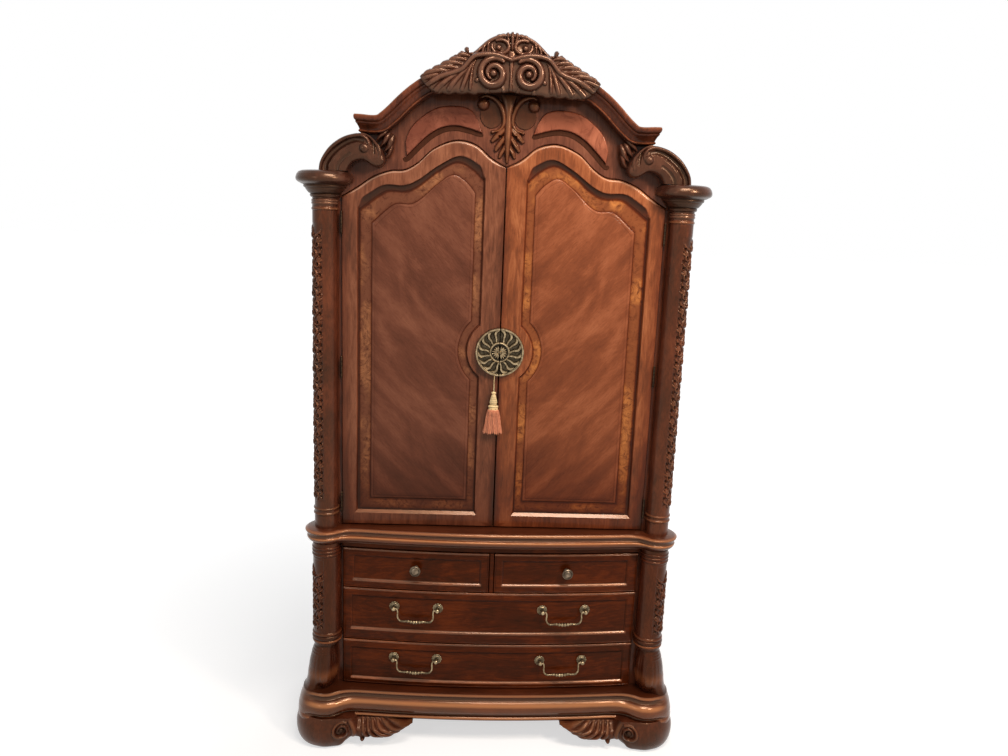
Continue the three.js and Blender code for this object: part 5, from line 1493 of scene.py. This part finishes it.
def tassel_skirt():
    """Skirt of threads: r = R(t) (1 + 0.05 cos 26 a + 0.03 cos 9 a), flattened, with a waved hem."""
    t = np.linspace(0.0, 1.0, 60)[:, None]
    angle = angles(156)
    flare = np.interp(t, [0, 0.05, 0.12, 0.4, 0.75, 0.95, 1.0], [0.5, 0.6, 0.66, 0.77, 0.9, 1.0, 0.99])
    strand = 0.05 * np.cos(26.0 * angle + 3.0 * t) + 0.03 * np.cos(9.0 * angle - 2.0 * t + 0.6)
    radius = TASSEL_RADIUS * flare * (1.0 + strand * ease(t, 0.02, 0.3))
    hem = 2.6 * np.cos(26.0 * angle + 3.0) + 2.2 * np.cos(7.0 * angle + 1.1) + 1.2 * np.cos(15.0 * angle)
    flat = np.interp(t, [0, 0.3, 1.0], [FLAT, 0.5, 13.0 / TASSEL_RADIUS])
    z = HEAD_TOP - 56.0 - 77.0 * t - 0.8 * hem * ease(t, 0.55, 1.0)
    outer = about(TASSEL, radius, angle, z, flat)
    middle = np.array([*TASSEL, 0.0])
    inner = middle + (outer[::-1][:12] - middle) * [0.9, 0.86, 1.0] + [0.0, 0.0, 1.5]
    # Painted shade between the threads and inside the skirt.
    shade = np.clip(0.55 - 9.0 * strand, 0.0, 1.0) * ease(t, 0.0, 0.2)
    return tube(np.concatenate([outer, inner]), np.concatenate([shade, np.ones((12, len(angle)))]))


cord_piece = piece(
    "tassel_cord_strands", [twisted_cord()], head_silk, "tassel_on_cord", "tassel_cord", slot="silk",
)
tassel_piece = piece(
    "silk_tassel", [tassel_head(), tassel_skirt()], head_silk, "tassel_on_cord", "tassel", slot="silk",
    second=skirt_silk, chosen=lambda middle: middle[:, 2] < CORD_TOP - CORD_LENGTH - 57.0,
)


# Sides of the two cases: a board with a sunk panel, and its front post

def case_side(half, inner_half, z0, z1, back):
    """Board (half - depth, a, b) with a framed, sunk panel on its outer face, and a plain front post."""
    a, b, depth, hollow = framed_grid(POST_FACE, back, z0, z1, (78, 70, 74, 74), 10, 24)
    panel = xyz(half - depth, a, b)
    x = np.array([inner_half, inner_half + 1.0, half - 6.0, half - 5.0])
    post = xyz(x, POST_FACE, np.array([z0, z0 + 1.0, z1 - 1.0, z1])[:, None])
    inside = xyz(half - 22.0, panel[..., 1], panel[..., 2])
    return [slab(panel, inside, hollow), backed(post, POST_FACE + 30.0)]


both(
    "chest_side_{}", case_side(CHEST_HALF, POST_INNER, CHEST_BOTTOM, CHEST_TOP, CHEST_BACK),
    case_finish, "carcass", "base_side_{}", slot="case_wood",
)
both(
    "cabinet_side_panel_{}", case_side(CASE_HALF, OPENING_HALF, CABINET_BOTTOM, CABINET_TOP, 521.7),
    case_finish, "carcass", "cabinet_side_{}", slot="case_wood",
)


# Cable outlet: a turned rim and a disc of bristles in the round opening of the back

OUTLET_Z = 898.3
OUTLET_ROWS = np.array([
    [0.05, 528.6], [30.0, 528.2], [34.5, 527.8], [35.5, 530.6], [37.0, 532.0], [41.5, 532.0], [43.6, 531.0],
    [44.0, 530.2], [39.4, 530.1], [39.2, 524.0], [35.0, 523.4], [30.0, 525.0], [0.05, 525.0],
])


def outlet_cover():
    """Rows [r, y] turned about the opening's middle."""
    angle = angles(72)
    radius, y = OUTLET_ROWS[:, :1], OUTLET_ROWS[:, 1:]
    return tube(xyz(radius * np.cos(angle), y, OUTLET_Z + radius * np.sin(angle)), 0.2)


piece("outlet_cover", [outlet_cover()], bristle, "carcass", slot="case_wood")


# Tympanum behind the doors' arches

CORNICE_LINE = [
    [1, 0], [0.905, -0.016], [0.835, 0.025], [0.784, 0.14], [0.733, 0.29], [0.677, 0.477], [0.626, 0.633],
    [0.575, 0.766], [0.515, 0.883], [0.4, 0.94], [0.2, 0.98], [0, 1],
]


def cornice_foot(x):
    """Height of the cornice's lower edge over |x|."""
    line = spline(CORNICE_LINE, 300)[::-1]
    return CORNICE_FOOT + CORNICE_RISE * np.interp(np.abs(x) / CORNICE_HALF, line[:, 0], line[:, 1])


def door_head(x):
    """Height of the closed doors' top edge over |x|."""
    wide = np.maximum(np.abs(x), DOOR_EDGE)
    return top_height(DOOR_TOP, wide, DOOR_EDGE, DOOR_HALF, DOOR_SHOULDER, DOOR_RISE)


def tympanum():
    """Board under the cornice, rebated behind the doors; its lower front edge is rounded."""
    half = np.linspace(489.1, 0.0, 121)
    x = np.concatenate([-half[:-1], np.linspace(0.0, 489.1, 121)])
    shoulder = np.interp(np.abs(x), [CORNICE_HALF, 474.1, 489.1], [1966.9, 1935.3, 1920.3])
    top = np.where(np.abs(x) < CORNICE_HALF, cornice_foot(x) - 0.4, shoulder)
    foot = np.minimum(door_head(x) + 3.0, top - 30.0)
    # Painted shade along the board's lower edge and under the cornice.
    rows = np.array([  # share of the height, depth, and how hollow it lies
        [0.0, 11.4, 0.4], [0.004, 9.4, 0.2], [0.012, 8.4, 0.05], [0.03, 8.0, 0], [0.3, 8.0, 0], [0.6, 8.0, 0],
        [0.9, 8.0, 0.15], [1.0, 8.0, 0.5],
    ])
    front = xyz(x, rows[:, 1:2], foot + (top - foot) * rows[:, :1])
    rear_foot = 1762.3
    rear = xyz(x, 24.0, rear_foot + (top - rear_foot) * np.array([[0.0], [0.5], [1.0]]))
    return [backed(front, 25.0, rows[:, 2:]), backed(rear, 44.0, 0.4)]


piece("tympanum_board", tympanum(), head_finish, "carcass", "tympanum", slot="case_wood")

PAD_LOW = [
    [74, 1981], [88, 1984], [112, 1991], [152, 1998], [192, 1992], [230, 1971], [264, 1940], [298, 1905],
]
PAD_HIGH = [
    [84, 2006], [94, 2026], [110, 2046], [140, 2056], [182, 2055], [222, 2044], [262, 2016], [290, 1984],
    [303, 1945],
]
PAD_SHADOW = [
    [72, 1975], [88, 1979], [112, 1986], [152, 1992], [190, 1986], [227, 1965], [260, 1935], [296, 1899],
    [305, 1904],
]


def burl_pad():
    """Burl pad on the tympanum: a grid between its lower and upper lines, 8 high with quarter-round edges."""
    low, high = spline(PAD_LOW, 70), spline(PAD_HIGH, 70)
    inner = np.linspace(0.16, 0.84, 10)[1:-1]
    v = np.concatenate([np.linspace(0.0, 0.16, 7), inner, np.linspace(0.84, 1.0, 7)])
    flat = toward(low, high, v[:, None, None])
    run = run_of(low)
    near_edge = np.minimum(v, 1.0 - v)[:, None] * np.linalg.norm(high - low, axis=1)
    edge = np.minimum(np.minimum(run, run[-1] - run), near_edge)
    # Painted shade along the pad's edges.
    return backed(at_depth(flat, 9.0 - 8.0 * quarter(edge / 7.0)), 9.5, 1.0 - ease(edge, 0.0, 5.0))


def shadow_groove():
    """Painted shadow under the pad's lower edge: a low, shallow-sunk fluted band in a dark finish, half
    hollow all over.
    """
    width = 15.0 * np.sqrt(np.clip(1.0 - np.linspace(-1, 1, 90) ** 8, 0.05, 1.0))
    points, faces, hollow = band(spline(PAD_SHADOW, 90), width, 1.2, 8.2, "flute", sink=1.0)
    return points, faces, 0.5 + 0.0 * hollow


both("burl_pad_{}", [burl_pad()], pad_finishes, "carcass", slot="veneer_wood")
both("pad_shadow_{}", [shadow_groove()], pad_shadow_finish, "carcass", slot="case_wood")

BOARD_FACE = 8.0
PENDANT_HALF = 102.0
PENDANT_LEAVES = (
    ([[6, 2000], [22, 1984], [35, 1972], [44, 1962]], 19.0),
    ([[5, 1980], [18, 1960], [28, 1946], [34, 1936]], 18.0),
    ([[3, 1956], [11, 1938], [18, 1926], [22, 1916]], 15.0),
)


def pendant():
    """Carved pendant on a grid over the board: a stem, two bowls under their balls, and leaves to a point."""
    x, z = np.meshgrid(np.linspace(-PENDANT_HALF, PENDANT_HALF, 151), np.linspace(1890.0, 2090.0, 146))
    z = np.maximum(z, door_head(x) + 3.2)
    wide = np.abs(x)
    bowl = np.sqrt(((wide - 50.0) / 33.0) ** 2 + ((z - 2033.0) / 36.0) ** 2)
    ground = np.where(bowl < 1.0, 1.6 + 1.6 * bowl**2, -1.6)
    stem = [[0, 2092], [0, 2062], [0, 2034], [0, 2004], [0, 1968], [0, 1930], [0, 1900]]
    rim = [
        [86, 2078], [72, 2086], [52, 2084], [35, 2074], [22, 2056], [14, 2032], [14, 2008], [26, 1992],
        [44, 1987],
    ]
    strokes = [
        (stem, [52, 36, 24, 26, 26, 18, 7], [9, 11, 12, 13, 15, 13, 7], 4.0, "round"),
        (rim, [8, 13, 17, 18, 18, 16, 13, 10, 7], [7, 10, 12, 13, 13, 12, 10, 8, 6], 4.0, "round"),
        pearl(75.0, 2064.0, 18.5, 4.0, 0.95), pearl(45.0, 1986.0, 6.0, 4.0, 1.3),
    ]
    for points, width in PENDANT_LEAVES:
        strokes.append((points, [10.0, width, width, 0.7 * width], [8.0, 10.0, 9.0, 5.0], 3.0, "reed"))
    strokes.append(([[24, 1974], [22, 1971]], 8.0, -6.0, 0.0, "dome"))
    # The ground, bowls and cuts take painted shade.
    height, hollow = carve(wide, z, ground, 0.5, strokes)
    height = np.where(np.abs(wide - PENDANT_HALF) < 1.0, -1.6, height)
    height[:1] = -1.6
    return backed(xyz(x, BOARD_FACE - height, z), 12.0, hollow)


piece("carved_pendant", [pendant()], carved_finish, "carcass", slot="carved_wood")


# Cornice; section rows [up, out, how hollow: painted shade, below 0 a painted highlight]

CORNICE_ROWS = np.array([
    [0.0, 0.5, 0.6], [0.03, 0.57, 0.2], [0.08, 0.6, -0.2], [0.13, 0.57, 0.3], [0.16, 0.53, 0.8],
    [0.2, 0.54, 0.6], [0.28, 0.59, 0.3], [0.38, 0.66, 0.1], [0.47, 0.75, 0.1], [0.54, 0.83, 0.1],
    [0.58, 0.85, 0.3], [0.61, 0.83, 0.8], [0.64, 0.86, 0.5], [0.7, 0.94, 0.1], [0.78, 0.985, 0],
    [0.87, 1.0, 0], [0.94, 0.985, -0.1], [0.98, 0.95, -0.2], [1.0, 0.88, 0],
])
CORNICE_DEPTH = 60.0


def cornice():
    """Section rows carried along the curve, 48 up its normal and 60 out, mitred and returned at its ends."""
    half = spline(CORNICE_LINE, 64) * [CORNICE_HALF, CORNICE_RISE] + [0.0, CORNICE_FOOT]
    path = np.concatenate([half, half[-2::-1] * [-1.0, 1.0]])
    run = heading(path)
    normal = np.stack([run[:, 1], -run[:, 0]], axis=1)
    up, out, dark = CORNICE_ROWS.T
    flat = path[:, None] + normal[:, None] * (up * 48.0)[:, None]
    end = np.zeros((len(path), 1))
    end[0], end[-1] = 1.0, -1.0
    flat[..., 0] += end * 34.0 * (out - 0.5)
    flat = np.concatenate([flat, flat[:, [-1, 0]]], axis=1)
    rings = at_depth(flat, np.append(-CORNICE_DEPTH * out, [CORNICE_DEPTH, CORNICE_DEPTH]))
    first, last = (at_depth(flat[k:k + 1], CORNICE_DEPTH) for k in (0, len(flat) - 1))
    return tube(np.concatenate([first, rings, last]), np.append(dark, [0.4, 0.6]))


piece("cornice_moulding", [cornice()], case_finish, "carcass", "cornice", slot="case_wood", crease=32.0)


# Scroll arms

ARM_FACE = -23.0
ARM_OVER = [
    [549, 1856], [545, 1878], [533, 1902], [517, 1924], [494, 1943], [471, 1955], [448, 1962], [430, 1965],
    [410, 1961], [393, 1951], [379, 1936], [367, 1920], [359, 1904], [357, 1890],
]
ARM_UNDER = [
    [466, 1856], [462, 1866], [455, 1876], [447, 1882], [438, 1886], [428, 1888], [418, 1887], [408, 1882],
    [399, 1876], [390, 1872], [381, 1870], [372, 1871], [365, 1875], [361, 1881],
]
ARM_RIM = [
    [544, 1850], [540, 1876], [528, 1899], [511, 1920], [490, 1937], [468, 1949], [446, 1955], [428, 1957],
    [414, 1952], [405, 1942], [402, 1929], [408, 1918], [418, 1916],
]
ARM_CHANNEL = [
    [530, 1850], [527, 1874], [516, 1894], [500, 1912], [481, 1927], [461, 1938], [440, 1944], [422, 1942],
]
ARM_FLUTE = [[511, 1852], [508, 1872], [498, 1890], [483, 1906], [465, 1919], [447, 1928], [432, 1931]]
ARM_GROOVE = [[496, 1850], [494, 1866], [486, 1880], [473, 1894], [458, 1905]]
ARM_LEAF = [[424, 1963], [405, 1958], [389, 1946], [377, 1928], [371, 1908], [374, 1892]]
ARM_GOUGES = [
    (ARM_CHANNEL, [20, 20, 19, 18, 17, 16, 12], [-9, -10, -10, -10, -9, -8, -4], 0.0, "round"),
    (ARM_GROOVE, [14, 13, 10], [-3, -4, -2], 0.0, "round"),
    ([[394, 1940], [389, 1925], [388, 1908]], [8, 10, 8], [-4, -5, -3], 0.0, "round"),
]
ARM_RIDGES = [
    (ARM_RIM, [9, 11, 12, 12, 13, 13, 11, 9], [7, 8, 8, 9, 10, 10, 8], 17.0, "round"),
    (ARM_FLUTE, [5, 7, 7, 4], [2.5, 3.5, 3.5, 2.0], 19.0, "round"),
    (ARM_LEAF, [5, 9, 11, 11, 10, 6], [2, 4, 4, 3, 2], 21.0, "round"), pearl(416.0, 1922.0, 14.5, 19.0, 0.85),
]
ARM_BLADES = (
    ([[362, 1916], [348, 1930], [341, 1948], [333, 1966]], 20.0),
    ([[372, 1930], [360, 1944], [352, 1958], [344, 1972]], 18.0),
    ([[384, 1946], [374, 1958], [362, 1968], [350, 1978]], 16.0),
    ([[360, 1898], [349, 1906], [343, 1920], [336, 1936]], 14.0),
)


def arm():
    """Scroll arm: a ruled face between its two lines, with a rim, a deep channel, a flute and a curl."""
    over, under = (even(spline(line, 200), 150) for line in (ARM_OVER, ARM_UNDER))
    s = np.linspace(0.0, 1.0, 62)[:, None]
    flat = toward(over, under, s[..., None])
    x, z = flat[..., 0], flat[..., 1]
    near = np.minimum(s, 1.0 - s) * np.linalg.norm(under - over, axis=1)
    gouged, hollow = carve(x, z, 16.0 * quarter(near / 30.0) + 6.0 * quarter(near / 7.0), 0.0, ARM_GOUGES)
    raised, shade = carve(x, z, gouged, 0.0, ARM_RIDGES)
    # Painted shade over the whole face, deeper in the channel and grooves.
    hollow = 0.2 + 0.8 * np.where(raised > gouged, shade, 0.75 * hollow)
    blades = [blade(points, width, 16.0, -12.0) for points, width in ARM_BLADES]
    return [backed(xyz(x, ARM_FACE - raised, z), COLUMN_BACK, hollow)] + blades


both("fluted_arm_{}", arm(), dark_carved, "carcass", "arm_{}", slot="carved_wood")


# Crest; its lines and strokes are those of the right half

CREST_HALF = 257.0
CREST_BACK = -60.3
CREST_FACE = -63.0
CREST_TOP = [
    [0, 2246], [33, 2242], [52, 2236], [70, 2226], [90, 2209], [106, 2195], [120, 2191], [137, 2192],
    [153, 2184], [173, 2172], [199, 2157], [226, 2142], [245, 2131], [257, 2123],
]
CREST_FOOT = [
    [0, 2091], [30, 2087], [60, 2085], [100, 2083], [138, 2083], [176, 2081], [205, 2080], [222, 2084],
    [238, 2094], [250, 2108], [257, 2121],
]
CREST_SHELL = [[6, 2240], [30, 2239], [52, 2231], [70, 2220], [88, 2204], [104, 2192]]
CREST_RIBS = (
    ([[60, 2228], [67, 2214], [68, 2197]], [6, 8, 9]), ([[70, 2220], [79, 2206], [83, 2193]], [6, 8, 9]),
    ([[82, 2210], [93, 2198], [102, 2189]], [6, 8, 8]),
)
CREST_RAIL = [
    [2, 2175], [28, 2183], [50, 2187], [70, 2187], [87, 2185], [104, 2180], [116, 2170], [128, 2156],
    [140, 2145], [160, 2136], [183, 2129], [203, 2121], [221, 2110], [238, 2098],
]
CREST_SPINE = [[0, 2192], [0, 2170], [0, 2142], [0, 2112], [0, 2096]]
CREST_FLUTES = (
    ([[106, 2186], [121, 2192], [139, 2194]], 13), ([[112, 2178], [132, 2184], [155, 2184]], 14),
    ([[121, 2167], [146, 2173], [175, 2171]], 15), ([[133, 2156], [162, 2162], [197, 2158]], 16),
    ([[148, 2147], [184, 2150], [224, 2143]], 17), ([[170, 2139], [212, 2138], [251, 2128]], 17),
    ([[196, 2130], [226, 2123], [250, 2114]], 16),
)
CREST_DRAPERY = (
    ([[98, 2176], [108, 2156], [112, 2132], [114, 2110], [115, 2094]], 13),
    ([[98, 2181], [111, 2162], [121, 2140], [130, 2116], [138, 2092]], 17),
    ([[106, 2176], [124, 2150], [143, 2130], [161, 2110], [175, 2091]], 19),
    ([[120, 2164], [146, 2138], [172, 2121], [194, 2104], [211, 2088]], 20),
)


def crest_strokes():
    """Gouge strokes of the crest: shell, dish and ribs above, volute, leaf flutes and drapery below."""
    ring = np.radians(np.linspace(62.0, 372.0, 22))
    dish = flat_line(33.0 + 24.0 * np.cos(ring), 2210.0 + 18.0 * np.sin(ring))
    volute = spiral(50.0, 2137.0, 43.0, 16.0, 1.5, 128.0, -1.0, 48)
    strokes = [
        (CREST_SHELL, [11, 13, 14, 13, 9], [5, 7, 7, 6, 4], 9.0, "round"),
        ([[0, 2250], [0, 2234], [0, 2214], [0, 2200]], [13, 12, 9, 5], [12, 14, 12, 6], 11.0, "round"),
        ([[13, 2247], [13, 2236], [9, 2220]], [10, 9, 6], [6, 8, 6], 10.0, "round"),
        (dish, [10, 12, 13, 13, 12, 10, 7], [5, 8, 10, 10, 8, 6, 3], 9.0, "round"),
        pearl(38.0, 2207.0, 8.5, 8.0, 1.1), pearl(53.0, 2199.0, 4.5, 9.0),
    ]
    strokes += [(points, width, [4, 8, 8], 9.0, "round") for points, width in CREST_RIBS]
    strokes += [
        (CREST_RAIL, [14, 17, 18, 18, 17, 17, 17, 18, 19, 15], [12, 14, 14, 13, 12, 11, 9],
         [12, 12, 11, 11, 10, 9, 7], "round"),
        (volute, [14, 23, 25, 22, 17, 11], [8, 12, 13, 12, 10, 7], 12.0, "round"),
        pearl(50.0, 2138.0, 11.0, 10.0, 1.1), pearl(96.0, 2118.0, 7.0, 8.0),
        (CREST_SPINE, [24, 16, 9, 10, 12], [6, 7, 6, 6, 4], 7.0, "round"),
        ([[24, 2100], [19, 2088]], [9, 11], [5, 4], 6.0, "round"),
        ([[64, 2096], [66, 2086]], [10, 12], [5, 4], 6.0, "round"),
    ]
    for points, width in CREST_FLUTES:
        broad = [5.0, 0.8 * width, width, width]
        strokes.append((points, broad, [4.0, 9.0, 10.0, 7.0], [4.0, 6.0, 6.0, 5.0], "shingle"))
    for points, width in CREST_DRAPERY:
        broad = [5.0, 0.6 * width, 0.85 * width, width, width]
        strokes.append((points, broad, [5.0, 9.0, 11.0, 11.0, 8.0], 5.0, "round"))
    return strokes


def crest():
    """Carved crest: a board with scalloped edges under gouge strokes, the same on both halves."""
    x = np.linspace(0.0, CREST_HALF, 173)
    wing = ease(x, 132.0, 145.0) * ease(CREST_HALF - x, 0.0, 10.0)
    shell = ease(50.0 - x, 0.0, 12.0)
    hem = ease(x, 90.0, 100.0) * ease(240.0 - x, 0.0, 10.0)
    lines = (spline(rows, 400) for rows in (CREST_TOP, CREST_FOOT))
    top, foot = (np.interp(x, np.maximum.accumulate(line[:, 0]), line[:, 1]) for line in lines)
    top = top + 5.0 * wing * np.abs(np.sin(np.pi * (x - 131.0) / 23.5)) ** 0.7
    top = top + 4.0 * shell * np.abs(np.cos(np.pi * x / 13.0)) ** 0.7
    foot = foot - 4.0 * hem * np.abs(np.sin(np.pi * (x - 121.0) / 36.0))
    v = np.linspace(0.0, 1.0, 96)[:, None]
    z = toward(foot, top, v)
    x = x + 0.0 * z
    near = np.minimum(v, 1.0 - v) * (top - foot)
    ground = 8.0 * quarter(near / 12.0) - 6.0 * np.exp(-(((x - 33) / 17) ** 2 + ((z - 2210) / 13) ** 2))
    ground = ground - 5.0 * np.exp(-(((x - 49) / 26) ** 2 + ((z - 2137) / 26) ** 2))
    height, hollow = carve(x, z, ground, 0.42, crest_strokes())
    # Painted shade along the crest's lower edge.
    hollow = hollow + (1.0 - hollow) * 0.62 * ease(foot + 30.0 - z, 0.0, 26.0)
    height = height * (0.25 + 0.75 * quarter((near + 1.0) / 8.0))
    x = np.concatenate([-x[:, :0:-1], x], axis=1)
    z, height, hollow = (np.concatenate([v[:, :0:-1], v], axis=1) for v in (z, height, hollow))
    nub = blade([[120, 2186], [126, 2197], [129, 2206]], 14.0, 14.0, -64.0, steps=14, blunt=0.75)
    board = backed(xyz(x, CREST_FACE - height, z), CREST_BACK, hollow)
    return [board] + [mirrored(nub, side) for side in (-1, 1)]


piece("carved_crest", crest(), crest_finish, "carcass", "crest", slot="carved_wood")


# Boards that keep their own shape

for finish, names in (
    (inner_upright, ("base_back", "cabinet_back")),
    (drawer_finish, ("dust_frame_upper",)),
    (inner_finish, (
        "cabinet_deck", "cabinet_top", "shelf", "dust_frame_lower", "drawer_box_upper_left",
        "drawer_box_upper_right", "drawer_box_middle", "drawer_box_bottom",
    )),
):
    for name in names:
        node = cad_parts[name]
        node.data.materials.clear()
        node.data.materials.append(finish)


# Studio

def area_light(name, place, aim, size, power, colour=(1.0, 1.0, 1.0)):
    """Soft rectangular lamp at place, turned to aim, in the frame's metres."""
    data = bpy.data.lights.new(name, "AREA")
    data.shape = "RECTANGLE"
    data.size, data.size_y = size
    data.energy = power
    data.color = colour
    light = in_scene(name, data)
    light.location = place
    light.rotation_euler = (Vector(aim) - Vector(place)).to_track_quat("-Z", "Y").to_euler()


area_light("right_lamp", (1.5, -1.8, 2.7), (0.2, 0.0, 1.4), (0.4, 0.4), 36.0, (1.0, 0.86, 0.72))
area_light("upper_lamp", (0.4, -1.6, 3.3), (0.0, 0.0, 1.4), (1.2, 0.5), 52.0, (1.0, 0.93, 0.86))
area_light("left_lamp", (-1.9, -2.6, 2.3), (0.0, 0.0, 1.3), (0.5, 0.5), 6.0, (0.94, 0.97, 1.0))
area_light("back_lamp", (0.5, 3.2, 2.8), (0.0, 0.0, 1.2), (1.0, 1.0), 40.0)


def seen_directly(tree):
    """1 for rays from the camera, off gloss or through glass, and 0 for those that light the scene."""
    rays = add_node(tree, "ShaderNodeLightPath").outputs
    seen = counted(tree, "MAXIMUM", rays["Is Camera Ray"], rays["Is Glossy Ray"])
    return counted(tree, "MAXIMUM", seen, rays["Is Transmission Ray"])


def pale_floor():
    """Pale floor: plain near the armoire, and white to the camera and to gloss from 3.2 m away on."""
    finish, tree, shader, place = begin_finish("pale_floor")
    shader.inputs["Base Color"].default_value = (0.55, 0.55, 0.55, 1.0)
    shader.inputs["Roughness"].default_value = 0.9
    shader.inputs["Specular IOR Level"].default_value = 0.1
    shader.inputs["Emission Color"].default_value = (1.0, 1.0, 1.0, 1.0)
    far = add_node(tree, "ShaderNodeVectorMath", {0: place}, operation="LENGTH").outputs["Value"]
    strength = times(tree, seen_directly(tree), ranged(tree, far, 0.9, 3.2, 0.62, 1.0))
    tree.links.new(strength, shader.inputs["Emission Strength"])
    return finish


floor_mesh = bpy.data.meshes.new("floor")
floor_mesh.from_pydata([(-40, -40, 0), (40, -40, 0), (40, 40, 0), (-40, 40, 0)], [], [(0, 1, 2, 3)])
floor_mesh.materials.append(pale_floor())
floor = in_scene("floor", floor_mesh)

world = bpy.data.worlds.new("studio")
bpy.context.scene.world = world
world.use_nodes = True
sky = world.node_tree
background = sky.nodes["Background"]
background.inputs[0].default_value = (1.0, 1.0, 1.0, 1.0)
sky.links.new(ranged(sky, seen_directly(sky), 0.0, 1.0, 0.2, 1.0), background.inputs[1])
